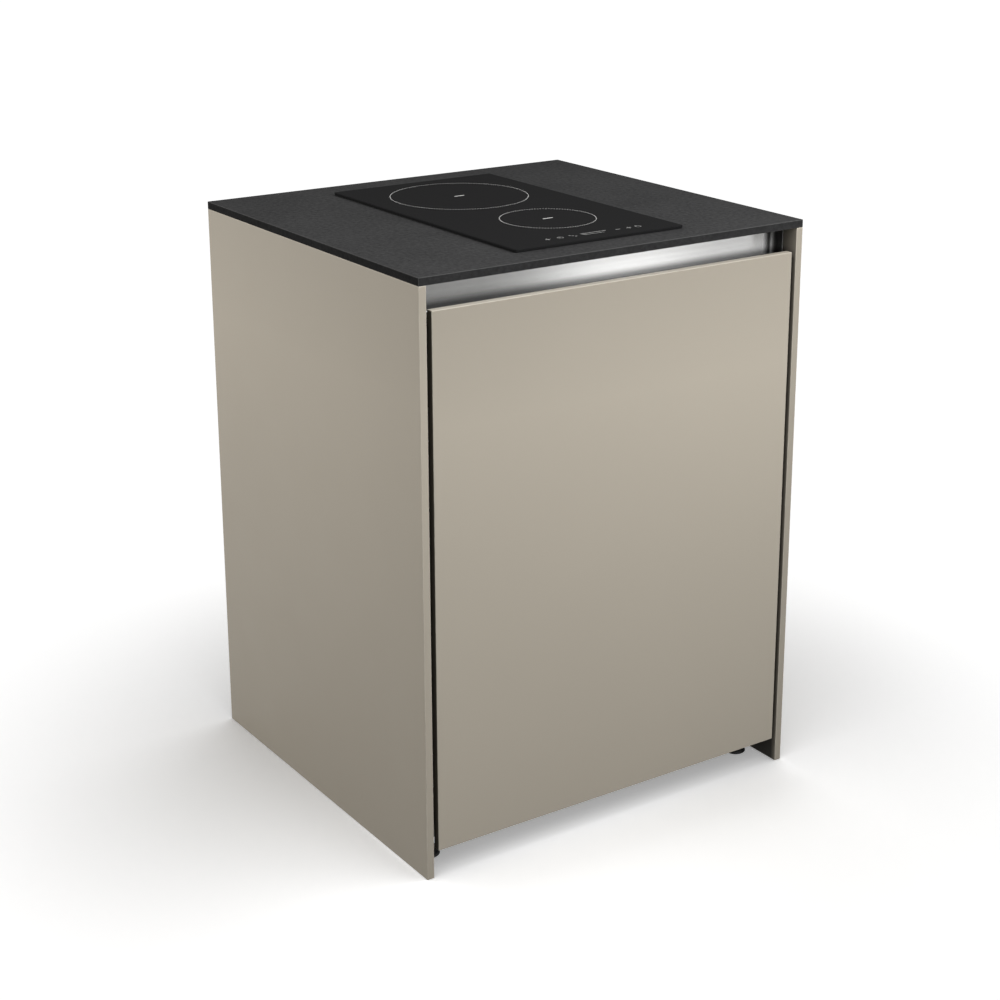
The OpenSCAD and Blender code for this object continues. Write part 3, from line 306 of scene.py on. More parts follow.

# %% [markdown]
# ## Lacquered boards
# The side panels, the front and the rear panel are boards with a satin taupe lacquer. Sprayed
# lacquer is never quite flat: it has a very fine orange peel and a gloss that drifts a little
# over a large face. Its edges are a touch lighter, partly from handling and partly as a painted
# highlight where an arris catches light. The front's upper face is painted paler as painted
# light, and its two upright end faces are painted dark brown as painted shade.
#
# A pale studio fills the narrow places between the boards with more light than a real room
# does. So painted shade darkens the lacquer by place: softly under the worktop and towards the
# feet, a little on the right panel's front face, and strongly on the panels' inner faces. That
# shade begins at the front's face and is full within a centimetre beside the front, and more
# slowly in the open gap above it. A colour that belongs to one face of a board ends in a thin
# skin under that face.

# %% Colours and reaches of the lacquer
LACQUER = (0.395, 0.358, 0.298)
LACQUER_SHADE = (0.368, 0.333, 0.277)
LACQUER_EDGE = (0.50, 0.46, 0.39)
LACQUER_TOP_LIGHT = (0.64, 0.60, 0.52)
END_SHADE_TONE = (0.045, 0.040, 0.031)
SLIT_SHADE = (0.030, 0.027, 0.021)
EDGE_WEAR_AND_HIGHLIGHT_WIDTH = 1.6 * MM
SKIN = 0.1 * MM
SIDE_SKIN = 0.5 * MM
FRONT_SKIN = 0.6 * MM
TOP_SKIN = (1.2 * MM, 0.2 * MM)
TOP_SHADE_REACH = 170 * MM
FOOT_SHADE_START = 250 * MM
SLIT_REACH = 10 * MM
GAP_REACH = 42 * MM
REACH_CHANGE = (-12 * MM, 6 * MM)
FRONT_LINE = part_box("front_panel")[0].y
FRONT_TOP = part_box("front_panel")[1].z
print("the slits' shade starts at y =", round(FRONT_LINE, 3), "m")


# %% The shades of the narrow places
def soft_shade(finish, body, low, high, shaded_top, shaded_foot):
    """The shade under the worktop, and one that grows towards the board's foot."""
    across, _, up = finish.axes()
    top = finish.ramp(up, 0.0, shaded_top, high.z - TOP_SHADE_REACH, high.z)
    foot = finish.math("MULTIPLY", finish.ramp(up, 1.0, 0.0, low.z, high.z - FOOT_SHADE_START),
                       finish.ramp(across, *shaded_foot, low.x, high.x))
    return finish.blend(foot, finish.blend(top, body, BLACK), BLACK)


def slit_shade(finish, body, low, high, dark_inside):
    """The shade on a panel's inner face, from the front's face backwards."""
    across, depth, up = finish.axes()
    inner = min(abs(low.x), abs(high.x))
    facing_in = finish.ramp(finish.math("ABSOLUTE", across), 1.0, 0.0, inner + SKIN,
                            inner + SIDE_SKIN)
    below, above = REACH_CHANGE
    reach = finish.ramp(up, SLIT_REACH, GAP_REACH, FRONT_TOP + below, FRONT_TOP + above)
    behind = finish.math("DIVIDE", finish.math("SUBTRACT", depth, FRONT_LINE), reach)
    behind = finish.math("MULTIPLY", finish.math("MINIMUM", behind, 1.0), dark_inside)
    return finish.blend(finish.math("MULTIPLY", facing_in, behind), body, SLIT_SHADE)


# %% Taupe lacquer
def lacquer(name, top_light=(0.0, 0.0), end_shade=0.0, shaded_top=0.0, shaded_foot=(0.0, 0.0),
            front_face_shade=0.0, dark_inside=0.0):
    """Lacquer for one board. Its painted light and painted shades are shares between 0 and 1, and
    a pair runs from the board's left end to its right end."""
    finish = Finish("lacquer_" + name, specular=0.15)
    low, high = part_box(name)
    grain = finish.ramp(finish.noise(900, detail=2), 0.0, 0.12, 0.35, 0.75)
    body = finish.blend(finish.noise(2.2, detail=2), LACQUER_SHADE, LACQUER)
    body = soft_shade(finish, finish.blend(grain, body, LACQUER_EDGE), low, high, shaded_top,
                      shaded_foot)
    across, depth, up = finish.axes()
    # Painted light: the upward face is painted paler, by a share that runs from the left end to
    # the right.
    facing_up = finish.ramp(up, 0.0, 1.0, *(high.z - under for under in TOP_SKIN))
    edge_wear_and_top_light = finish.math("MULTIPLY", finish.ramp(across, *top_light, low.x, high.x), facing_up)
    body = finish.blend(edge_wear_and_top_light, body, LACQUER_TOP_LIGHT)
    # Painted shade: the face towards the front is darkened by its share.
    facing_front = finish.ramp(depth, front_face_shade, 0.0, FRONT_LINE + SKIN,
                               FRONT_LINE + FRONT_SKIN)
    body = slit_shade(finish, finish.blend(facing_front, body, BLACK), low, high, dark_inside)
    # Painted shade: the two end faces, in the gaps beside the front, are painted dark brown.
    end_shade_mask = finish.ramp(finish.math("ABSOLUTE", across), 0.0, end_shade, high.x - SIDE_SKIN,
                         high.x - SKIN)
    # The edges are lightened, partly as wear and partly as a painted highlight where an arris
    # catches light.
    worn_and_highlit_edges = finish.math("MULTIPLY", finish.edges(low, high, EDGE_WEAR_AND_HIGHLIGHT_WIDTH),
                       finish.ramp(finish.noise(60), 0.35, 0.9, 0.3, 0.7))
    finish.colour(finish.blend(worn_and_highlit_edges, finish.blend(end_shade_mask, body, END_SHADE_TONE), LACQUER_EDGE))
    finish.gloss(finish.ramp(finish.noise(14, detail=4), 0.40, 0.54))
    finish.relief(finish.noise(750, detail=1), 0.02 * MM, 0.5)
    return finish


dress(lacquer("rear_panel"), "rear_panel")
dress(lacquer("left_side_panel", shaded_top=0.13, shaded_foot=(0.12, 0.12), dark_inside=0.95),
      "left_side_panel")
dress(lacquer("right_side_panel", shaded_foot=(0.14, 0.14), front_face_shade=0.18, dark_inside=0.95),
      "right_side_panel")
dress(lacquer("front_panel", top_light=(0.5, 0.1), end_shade=0.85, shaded_top=0.18,
              shaded_foot=(0.03, 0.13)), "front_panel")

# %% [markdown]
# ## Stone worktop
# The worktop is a thin slab of charcoal sintered stone, matt, with a soft cloudy mottle and a
# finer grain on top of it. Its arrises are eased and carry a thin painted highlight; the faces
# below them are painted darker than the top, as painted shade.

# %% Charcoal stone
STONE_DARK = (0.024, 0.024, 0.0246)
STONE_LIGHT = (0.052, 0.052, 0.0525)
STONE_ARRIS_LIGHT = (0.085, 0.085, 0.084)
SIDE_SHADE_SHARE = 0.62
END_FACE_SHADE_SHARE = 0.6
SIDE_SHADE_SKIN = (1.4 * MM, 0.4 * MM)
ARRIS_WIDTH = 1.2 * MM

stone = Finish("charcoal_stone", specular=0.0)
stone.shader.inputs["Coat Weight"].default_value = 0.04
stone.shader.inputs["Coat Roughness"].default_value = 0.5
cloud = stone.noise(9, detail=4, roughness=0.55)
blotch = stone.noise(150, detail=6, roughness=0.68)
grain = stone.noise(620, detail=3, roughness=0.6)
mottle = stone.math("ADD", stone.math("MULTIPLY", blotch, 0.62),
                    stone.math("ADD", stone.math("MULTIPLY", cloud, 0.2),
                               stone.math("MULTIPLY", grain, 0.18)))
face = stone.blend(stone.ramp(mottle, 0.0, 1.0, 0.36, 0.64), STONE_DARK, STONE_LIGHT)
slab_low, slab_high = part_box("worktop")
across, _, up = stone.axes()
# Painted shade: the faces below the top are darker, and the two end faces darker still.
side_shade = stone.ramp(up, SIDE_SHADE_SHARE, 1.0, *(slab_high.z - under for under in SIDE_SHADE_SKIN))
end_face_shade = stone.ramp(stone.math("ABSOLUTE", across), 1.0, END_FACE_SHADE_SHARE, slab_high.x - SIDE_SKIN,
                  slab_high.x - SKIN)
face = stone.blend(stone.math("MULTIPLY", side_shade, end_face_shade), BLACK, face)
# Painted highlight: a thin lighter band along every arris.
arris_highlight = stone.edges(slab_low, slab_high, ARRIS_WIDTH)
stone.colour(stone.blend(stone.math("MULTIPLY", arris_highlight, 0.8), face, STONE_ARRIS_LIGHT))
stone.gloss(stone.ramp(grain, 0.50, 0.66))
stone.relief(mottle, 0.12 * MM, 0.55)
dress(stone, "worktop")

# %% [markdown]
# ## Hob
# The hob's plate is black glass ceramic. It is almost black, so what the eye reads is its
# gloss, which a little dust and wiping break up. The print on it comes later, as its own mesh.

# %% Black glass
GLASS_BLACK = (0.0115, 0.0115, 0.0118)
GLASS_DUST = (0.021, 0.021, 0.021)

glass = Finish("glass_ceramic", roughness=0.12, specular=0.0)
glass.shader.inputs["Coat Weight"].default_value = 0.022
glass.shader.inputs["Coat Roughness"].default_value = 0.08
film = glass.noise(9, detail=5, roughness=0.6)
dust = glass.noise(1500, detail=1)
glass.colour(glass.blend(glass.ramp(dust, 0.0, 1.0, 0.62, 0.8), GLASS_BLACK, GLASS_DUST))
glass.gloss(glass.ramp(film, 0.10, 0.22))
dress(glass, "hob_glass")

# %% [markdown]
# ## The grip channel's steel
# The channel behind the front's upper edge is stainless steel, brushed along its length. The
# brushing is thousands of fine grooves, so noise is stretched along X for them, and the gloss is
# anisotropic: it spreads a highlight across the grooves and keeps it short along them. The
# tangent that this needs runs round Z, which is along the grooves on the channel's back wall.
# The scoop at its foot and the strip under the worktop lie in shade and are a little darker.
# Towards its two ends the steel turns dull, and its last millimetres beside the panels are
# painted dark, as painted shade.

# %% Brushed steel
STEEL_DARK = (0.285, 0.285, 0.283)
STEEL_LIGHT = (0.475, 0.475, 0.468)
SCOOP_SHARE, SCOOP_TOP, SCOOP_CLEAR = 0.28, 12 * MM, 21 * MM
CROWN_SHARE, CROWN_START, CROWN_FULL = 0.76, 26 * MM, 37 * MM
TIP_SHARE, TIP_START, TIP_FULL = 0.45, 4 * MM, 2 * MM
DULL_SHARE, DULL_START, DULL_FULL = 0.4, 22 * MM, 12 * MM

steel = Finish("satin_brushed_steel", metallic=1.0, roughness=0.3)
fine = steel.noise(1.0, detail=4, roughness=0.7, place=steel.stretched((6, 2600, 2600)))
broad = steel.noise(1.0, detail=2, place=steel.stretched((1.5, 260, 260)))
streak = steel.math("ADD", steel.math("MULTIPLY", fine, 0.65), steel.math("MULTIPLY", broad, 0.35))
channel_low, channel_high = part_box("grip_channel")
along, _, up = steel.axes()
outward = steel.math("ABSOLUTE", along)
scoop = steel.ramp(up, SCOOP_SHARE, 1.0, channel_low.z + SCOOP_TOP, channel_low.z + SCOOP_CLEAR)
crown = steel.ramp(up, 1.0, CROWN_SHARE, channel_low.z + CROWN_START,
                   channel_low.z + CROWN_FULL)
# Painted shade: the last millimetres beside the panels are darker.
tip_shade = steel.ramp(outward, 1.0, TIP_SHARE, channel_high.x - TIP_START,
                  channel_high.x - TIP_FULL)
dull = steel.ramp(outward, 0.0, DULL_SHARE, channel_high.x - DULL_START,
                  channel_high.x - DULL_FULL)
shading = steel.math("MULTIPLY", steel.math("MULTIPLY", scoop, crown), tip_shade)
steel.colour(steel.blend(shading, BLACK, steel.blend(streak, STEEL_DARK, STEEL_LIGHT)))
steel.gloss(steel.math("ADD", steel.ramp(streak, 0.20, 0.30), dull))
steel.relief(fine, 0.012 * MM, 0.5)
steel.shader.inputs["Anisotropic"].default_value = 0.9
steel.shader.inputs["Anisotropic Rotation"].default_value = 0.25
lengthwise = steel.nodes.new("ShaderNodeTangent")
lengthwise.direction_type = "RADIAL"
lengthwise.axis = "Z"
steel.links.new(lengthwise.outputs["Tangent"], steel.shader.inputs["Tangent"])
dress(steel, "grip_channel")

# %% [markdown]
# ## Plated and plain sheet metal
# Runners, brackets, screws, the hob's case and the shield under it are zinc plated. Zinc grows in
# faint crystals, which cells show best. The plate that carries the hob's coils and the heat sink
# are aluminium as it leaves the rolling mill, with long soft streaks.

# %% Zinc plate
ZINC_TONES = ((0.46, 0.47, 0.49), (0.62, 0.63, 0.64))

zinc = Finish("zinc_plate", metallic=1.0)
bloom = zinc.cells(160)
fleck = zinc.noise(1200, detail=3)
zinc.colour(zinc.blend(zinc.ramp(bloom, 0.0, 1.0, 0.1, 0.8), *ZINC_TONES))
zinc.gloss(zinc.ramp(zinc.math("MULTIPLY", bloom, fleck), 0.28, 0.5))
zinc.relief(fleck, 0.02 * MM, 0.4)
zinc_pieces = [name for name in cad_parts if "runner_" in name or name.endswith("_screws")]
dress(zinc, *zinc_pieces, "heat_shield", "worktop_brackets", "hob_case", "hob_clamps",
      "front_brackets")

# %% Mill-finish aluminium
ALUMINIUM_TONES = ((0.62, 0.62, 0.63), (0.80, 0.80, 0.81))

aluminium = Finish("mill_aluminium", metallic=1.0)
rolled = aluminium.noise(1.0, detail=3, place=aluminium.stretched((900, 12, 900)))
aluminium.colour(aluminium.blend(rolled, *ALUMINIUM_TONES))
aluminium.gloss(aluminium.ramp(rolled, 0.3, 0.48))
aluminium.relief(rolled, 0.01 * MM, 0.5)
dress(aluminium, "coil_carrier", "heat_sink")

# %% [markdown]
# ## Cabinet and drawer boards
# The boards inside are faced chipboard. The facing has a fine pressed grain, and it is a little
# paler where an edge has been rubbed. The cabinet's boards are brown and the drawers' are grey.

# %% Faced boards
CABINET_TONES = ((0.070, 0.063, 0.054), (0.115, 0.104, 0.090))
DRAWER_TONES = ((0.085, 0.082, 0.078), (0.135, 0.130, 0.124))
RUBBED_WIDTH = 1.2 * MM
RUBBED_PALER = 1.6


def faced_board(name, dark, light):
    """The facing of one board, with its own edges rubbed."""
    finish = Finish("faced_" + name, specular=0.3)
    low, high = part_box(name)
    tick = finish.noise(1.0, detail=4, roughness=0.6, place=finish.stretched((700, 60, 700)))
    cloudy = finish.noise(18, detail=3)
    body = finish.blend(finish.ramp(tick, 0.0, 1.0, 0.3, 0.7), dark, light)
    body = finish.blend(finish.ramp(cloudy, 0.0, 0.25), body, light)
    edge_wear_and_top_light = finish.math("MULTIPLY", finish.edges(low, high, RUBBED_WIDTH), 0.5)
    finish.colour(finish.blend(edge_wear_and_top_light, body, tuple(RUBBED_PALER * part for part in light)))
    finish.gloss(finish.ramp(tick, 0.48, 0.62))
    finish.relief(tick, 0.03 * MM, 0.5)
    return finish


CABINET_BOARDS = ("cabinet_side_left", "cabinet_side_right", "cabinet_bottom", "rear_rail")
DRAWER_BOARDS = [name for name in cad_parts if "_drawer_" in name]
for board in CABINET_BOARDS:
    dress(faced_board(board, *CABINET_TONES), board)
for board in DRAWER_BOARDS:
    dress(faced_board(board, *DRAWER_TONES), board)

# %% [markdown]
# The dowels that hold the cabinet's boards are turned beech, with the grain along them.

# %% Beech
BEECH_TONES = ((0.42, 0.25, 0.12), (0.62, 0.42, 0.24))

beech = Finish("turned_beech", specular=0.3)
rings = beech.noise(1.0, detail=5, roughness=0.6, place=beech.stretched((14, 900, 900)))
beech.colour(beech.blend(rings, *BEECH_TONES))
beech.gloss(beech.ramp(rings, 0.5, 0.7))
beech.relief(rings, 0.05 * MM)
dress(beech, "cabinet_dowels")

# %% [markdown]
# ## Plastic and foam
# Moulded plastic takes the spark-eroded grain of its mould, which is a fine even noise. The
# hob's seal is closed-cell foam, where small cells do for the pores.

# %% Moulded plastic
PLASTIC_TONES = ((0.012, 0.012, 0.012), (0.024, 0.024, 0.0245))
FEET = ("foot_front_left", "foot_front_right", "foot_rear_left", "foot_rear_right")

plastic = Finish("moulded_plastic", specular=0.4)
spark = plastic.noise(1100, detail=3)
plastic.colour(plastic.blend(spark, *PLASTIC_TONES))
plastic.gloss(plastic.ramp(spark, 0.38, 0.58))
plastic.relief(spark, 0.04 * MM, 0.6)
dress(plastic, "cable_grommet", "foot_sockets", "fan_housing", "fan_rotor", "terminal_box",
      *FEET)

# %% Foam
FOAM_TONES = ((0.006, 0.006, 0.006), (0.02, 0.02, 0.02))

foam = Finish("closed_cell_foam", specular=0.2)
pores = foam.cells(900)
foam.colour(foam.blend(pores, *FOAM_TONES))
foam.gloss(foam.ramp(pores, 0.75, 0.95))
foam.relief(pores, 0.3 * MM)
dress(foam, "hob_seal")

# %% [markdown]
# ## The hob's inner parts
# The coils are stranded copper under a clear enamel, the ferrites are sintered and slightly
# rough, and the circuit boards are green solder mask over copper tracks, whose net of lines is
# the edges of Voronoi cells.

# %% Copper windings
COPPER_TONES = ((0.42, 0.16, 0.06), (0.78, 0.38, 0.18))

copper = Finish("stranded_copper", metallic=1.0)
strands = copper.noise(1.0, detail=3, place=copper.stretched((1400, 1400, 300)))
copper.colour(copper.blend(strands, *COPPER_TONES))
copper.gloss(copper.ramp(strands, 0.28, 0.5))
copper.relief(strands, 0.1 * MM)
dress(copper, "coil_large", "coil_small")

# %% Ferrite
FERRITE_TONES = ((0.03, 0.03, 0.033), (0.075, 0.075, 0.08))

ferrite = Finish("sintered_ferrite", specular=0.4)
speck = ferrite.noise(1500, detail=3)
ferrite.colour(ferrite.blend(speck, *FERRITE_TONES))
ferrite.gloss(ferrite.ramp(speck, 0.45, 0.7))
ferrite.relief(speck, 0.05 * MM)
dress(ferrite, "ferrite_bars")

# %% Circuit boards
MASK_TONES = ((0.008, 0.075, 0.03), (0.035, 0.19, 0.075))

mask = Finish("solder_mask", specular=0.5)
tracks = mask.ramp(mask.cells(240, "DISTANCE_TO_EDGE"), 1.0, 0.0, 0.05, 0.12)
mask.colour(mask.blend(tracks, *MASK_TONES))
mask.gloss(mask.ramp(mask.noise(200), 0.22, 0.4))
mask.relief(tracks, 0.05 * MM)
dress(mask, "power_board", "control_board")
print("pieces still without a finish:", sorted(set(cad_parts) - dressed) or "none")

# %% [markdown]
# ## The print on the glass
# Each cooking zone is marked by a ring of short dashes and by one dash at its centre, and the
# touch controls are a row of small signs with a slider between them. On the real plate this is
# enamel, screen printed and fired, so it stands a few hundredths of a millimetre proud. Every
# mark is one small strip with rounded corners. A ring is one strip, spun round the zone's centre
# with the operator's own copies, because that keeps the dashes even all the way round. Places
# and sizes on the glass are given in millimetres, from the unit's middle.

# %% A printed strip
GLASS_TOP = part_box("hob_glass")[1].z
PRINT_RISE = 0.03 * MM
CORNER_SHARE = 0.4


def printed_strip(name, start, end, width):
    """A thin strip of enamel between two points on the glass."""
    start, end = Vector(start) * MM, Vector(end) * MM
    length = (end - start).length
    middle = (start + end) / 2
    deselect()
    bpy.ops.mesh.primitive_plane_add(size=1, location=(0, 0, 0))
    bpy.context.active_object.scale = (length + width * MM, width * MM, 1)
    strip = named(name)
    edit(strip)
    bpy.ops.mesh.select_all(action="SELECT")
    bpy.ops.mesh.bevel(affect="VERTICES", offset=CORNER_SHARE * width * MM, segments=2)
    bpy.ops.mesh.select_all(action="SELECT")
    bpy.ops.mesh.extrude_region_move(TRANSFORM_OT_translate={"value": (0, 0, PRINT_RISE)})
    bpy.ops.mesh.select_all(action="SELECT")
    bpy.ops.mesh.normals_make_consistent(inside=False)
    bpy.ops.object.mode_set(mode="OBJECT")
    turn = Matrix.Rotation(math.atan2(end.y - start.y, end.x - start.x), 4, "Z")
    strip.data.transform(Matrix.Translation((middle.x, middle.y, GLASS_TOP)) @ turn)
    return strip


print("the glass is", round(GLASS_TOP, 4), "m above the floor")

# %% [markdown]
# The rings have 107 and 161 dashes, which read as dots where a ring runs across the view and
# close up into a line where it runs away from it. One dash is placed on the ring and spun round.

# %% The two cooking zones
# A zone is the place of its centre and its radius.
LARGE_ZONE = (0, 111, 110)
SMALL_ZONE = (14, -114, 73)
DASH_PITCH = 4.3
DASH_LENGTH = 0.9
DASH_WIDTH = 1.2
CENTRE_LENGTH = 16
CENTRE_WIDTH = 2.4


def zone_ring(name, centre_x, centre_y, radius):
    """A ring of dashes and the dash at its centre."""
    count = round(2 * math.pi * radius / DASH_PITCH)
    dash = printed_strip(name, (centre_x + radius, centre_y - DASH_LENGTH / 2),
                         (centre_x + radius, centre_y + DASH_LENGTH / 2), DASH_WIDTH)
    edit(dash)
    bpy.ops.mesh.select_all(action="SELECT")
    bpy.ops.mesh.spin(steps=count - 1, dupli=True, angle=2 * math.pi * (count - 1) / count,
                      center=(centre_x * MM, centre_y * MM, 0), axis=(0, 0, 1))
    bpy.ops.object.mode_set(mode="OBJECT")
    middle = printed_strip(name + "_centre", (centre_x - CENTRE_LENGTH / 2, centre_y),
                           (centre_x + CENTRE_LENGTH / 2, centre_y), CENTRE_WIDTH)
    print(name, "has", count, "dashes")
    return join([dash, middle], name)


large_ring = zone_ring("large_zone_print", *LARGE_ZONE)
small_ring = zone_ring("small_zone_print", *SMALL_ZONE)

# %% [markdown]
# The controls are plain signs: plus and minus keys, a small clock, three dots for a timer, a
# slider drawn by two long lines and a short one, and an open ring for the power key. None of
# them is a letter.

# %% The touch controls
CONTROL_Y = -238
PLUS_KEYS = (-73, 72)
MINUS_KEY = 52
CLOCK_KEY = -51
POWER_KEY = 89
TIMER_DOTS = -33
SLIDER_START = -12
SIGN_HALF = 4
SIGN_WIDTH = 1.1
RING_RADIUS = 4.5
RING_WIDTH = 0.8


def mark(start, end, width):
    """One strip of a sign, between two points whose heights count from the row's own line."""
    return printed_strip("mark", (start[0], CONTROL_Y + start[1]), (end[0], CONTROL_Y + end[1]),
                         width)


def ring_marks(centre_x, parts, gap=0):
    """A small ring of strips, with the first few left out for a gap."""
    corners = [2 * math.pi * step / parts + math.pi / 2 for step in range(gap, parts + 1)]
    points = [(centre_x + RING_RADIUS * math.cos(turn), RING_RADIUS * math.sin(turn))
              for turn in corners]
    return [mark(start, end, RING_WIDTH) for start, end in zip(points, points[1:])]


marks = [mark((x, -SIGN_HALF), (x, SIGN_HALF), SIGN_WIDTH) for x in PLUS_KEYS]
marks += [mark((x - SIGN_HALF, 0), (x + SIGN_HALF, 0), SIGN_WIDTH)
          for x in (PLUS_KEYS[0], MINUS_KEY, PLUS_KEYS[1])]
marks += ring_marks(CLOCK_KEY, 10)
marks += [mark((CLOCK_KEY, 0), (CLOCK_KEY, 3), 1.0)]
marks += [mark((TIMER_DOTS + 3 * step, 4 - 4 * step), (TIMER_DOTS + 2 + 3 * step, 4 - 4 * step),
               1.6) for step in range(3)]
marks += ring_marks(POWER_KEY, 12, gap=2)
marks += [mark((POWER_KEY - 1, 2), (POWER_KEY - 1, 6), 1.2)]
marks += [mark((SLIDER_START, rise), (right_end, rise), width)
          for rise, right_end, width in ((-4, 24, 0.9), (0, -6, 1.2), (4, 32, 1.4))]
controls = join(marks, "control_print")
print("the controls have", len(controls.data.polygons), "faces")

# %% [markdown]
# Fired enamel is a warm light grey, a little uneven where the screen left less of it. The
# controls are printed in a darker grey than the zones.

# %% Enamel
ZONE_TONES = ((0.62, 0.62, 0.61), (0.92, 0.92, 0.90))
CONTROL_TONES = ((0.20, 0.20, 0.195), (0.44, 0.44, 0.43))


def enamel(name, dark, light):
    """Fired enamel, from where it is thin to where it is thick."""
    finish = Finish(name, specular=0.3)
    thin = finish.noise(700, detail=2)
    finish.colour(finish.blend(thin, dark, light))
    finish.gloss(finish.ramp(thin, 0.35, 0.6))
    finish.relief(thin, 0.01 * MM)
    return finish


zone_enamel = enamel("fired_enamel", *ZONE_TONES)
control_enamel = enamel("grey_enamel", *CONTROL_TONES)
for printed, finish in ((large_ring, zone_enamel), (small_ring, zone_enamel),
                        (controls, control_enamel)):
    printed.data.materials.append(finish.material)
    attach(printed, "cabinet")
    print(printed.name, "is printed in", finish.material.name)

# %% [markdown]
# ## Levelling feet
# Each foot is a moulded pad on a threaded spindle that screws up into its socket. The drawing
# gives it a plain tapered disc and a plain rod. The real pad has grip ribs round its rim, so
# that it can be turned by hand, a hexagon for a spanner above them, and the rod has a thread.
# The pad's outline is drawn as a chain of points and spun round; every other panel of its side
# is then pressed in to leave the ribs. The thread is one zigzag, repeated by a Screw modifier.

# %% Sizes of a foot
FOOT_SIDES = 48
foot_low, foot_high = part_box(FEET[0])
PAD_RADIUS = (foot_high.x - foot_low.x) / 2
PAD_HEIGHT = 9 * MM
RIB_BAND = (2.3 * MM, 6.5 * MM)
RIB_WALL = 0.18 * MM
RIB_DEPTH = 0.5 * MM
HEXAGON_RADIUS = 9.5 * MM
HEXAGON_HEIGHT = 7 * MM
HEXAGON_RIM = 0.9 * MM
HEXAGON_CROWN = 0.45 * MM
SPINDLE_RADIUS = 5 * MM
THREAD_PITCH = 1.5 * MM
THREAD_DEPTH = 0.7 * MM
THREAD_STEPS = 24
ROD_CLEARANCE = 0.05 * MM
ROD_CHAMFER = 0.6 * MM
print("the pad is", round(2 * PAD_RADIUS / MM, 1), "mm across")


# %% Outlines and spun pieces
def outline(name, points):
    """A chain of (radius, height) points beside the Z axis, left open in edit mode."""
    deselect()
    bpy.ops.mesh.primitive_plane_add(size=1, location=(0, 0, 0))
    piece = named(name)
    edit(piece)
    bpy.ops.mesh.select_mode(type="VERT")
    bpy.ops.mesh.select_all(action="SELECT")
    bpy.ops.mesh.merge(type="CENTER")
    radius, height = points[0]
    bpy.ops.transform.translate(value=(radius, 0, height))
    for (radius, height), (last_radius, last_height) in zip(points[1:], points):
        bpy.ops.mesh.extrude_region_move(
            TRANSFORM_OT_translate={"value": (radius - last_radius, 0, height - last_height)})
    return piece


def spun_outline(name, points, sides):
    """A closed piece: an outline, spun round the Z axis."""
    piece = outline(name, points)
    bpy.ops.mesh.select_all(action="SELECT")
    bpy.ops.mesh.spin(steps=sides, angle=2 * math.pi, center=(0, 0, 0), axis=(0, 0, 1))
    bpy.ops.mesh.select_all(action="SELECT")
    bpy.ops.mesh.remove_doubles(threshold=0.001 * MM)
    bpy.ops.mesh.normals_make_consistent(inside=False)
    bpy.ops.object.mode_set(mode="OBJECT")
    return piece


print("the pad is spun in", FOOT_SIDES, "steps and the rod in", THREAD_STEPS)

# %% The pad
pad = spun_outline("foot_pad", [
    (0, 0), (PAD_RADIUS - 2.5 * MM, 0), (PAD_RADIUS - 1 * MM, 0.35 * MM),
    (PAD_RADIUS - 0.2 * MM, 1.2 * MM), (PAD_RADIUS, 2.2 * MM), (PAD_RADIUS - 1.5 * MM, 4.8 * MM),
    (PAD_RADIUS - 4.5 * MM, 7.8 * MM), (PAD_RADIUS - 5.5 * MM, PAD_HEIGHT), (0, PAD_HEIGHT)],
    FOOT_SIDES)


def between_ribs(middle, normal):
    """True for every other panel of the pad's sloping side."""
    panel = math.degrees(math.atan2(middle.y, middle.x)) // (360 / FOOT_SIDES)
    return RIB_BAND[0] < middle.z < RIB_BAND[1] and panel % 2 == 0


edit(pad)
hollows = pick(pad, between_ribs)
bpy.ops.mesh.inset(thickness=RIB_WALL, depth=-RIB_DEPTH, use_individual=False)
bpy.ops.object.mode_set(mode="OBJECT")
print("the pad has", hollows, "hollow faces between its ribs")

# %% The hexagon
deselect()
bpy.ops.mesh.primitive_cylinder_add(vertices=6, radius=HEXAGON_RADIUS, depth=HEXAGON_HEIGHT,
                                    location=(0, 0, PAD_HEIGHT + HEXAGON_HEIGHT / 2))
hexagon = named("foot_hexagon")
edit(hexagon)
pick(hexagon, lambda middle, normal: normal.z > 0.9)
bpy.ops.mesh.inset(thickness=HEXAGON_RIM, depth=HEXAGON_CROWN)
bpy.ops.object.mode_set(mode="OBJECT")
print("the hexagon is", round(HEXAGON_HEIGHT / MM, 1), "mm high")

# %% The thread
THREAD_START = PAD_HEIGHT + HEXAGON_HEIGHT
turns = int((foot_high.z - THREAD_START) / THREAD_PITCH) - 1
thread = outline("foot_thread", [
    (SPINDLE_RADIUS - THREAD_DEPTH, THREAD_START),
    (SPINDLE_RADIUS, THREAD_START + THREAD_PITCH / 2),
    (SPINDLE_RADIUS - THREAD_DEPTH, THREAD_START + THREAD_PITCH)])
bpy.ops.object.mode_set(mode="OBJECT")
screw = thread.modifiers.new("thread", "SCREW")
screw.steps = screw.render_steps = THREAD_STEPS
screw.screw_offset = THREAD_PITCH
screw.iterations = turns
bpy.ops.object.modifier_apply(modifier="thread")
edit(thread)
bpy.ops.mesh.select_all(action="SELECT")
bpy.ops.mesh.remove_doubles(threshold=0.01 * MM)
bpy.ops.mesh.fill_holes(sides=0)
bpy.ops.mesh.select_all(action="SELECT")
bpy.ops.mesh.normals_make_consistent(inside=False)
bpy.ops.object.mode_set(mode="OBJECT")
print("the spindle has", turns, "turns of thread")

# %% The rod's plain ends
ROD_RADIUS = SPINDLE_RADIUS - THREAD_DEPTH - ROD_CLEARANCE
rod = spun_outline("foot_rod", [
    (0, THREAD_START), (ROD_RADIUS, THREAD_START), (ROD_RADIUS, foot_high.z - ROD_CHAMFER),
    (ROD_RADIUS - ROD_CHAMFER, foot_high.z), (0, foot_high.z)], THREAD_STEPS)
print("the rod has", len(rod.data.polygons), "faces")

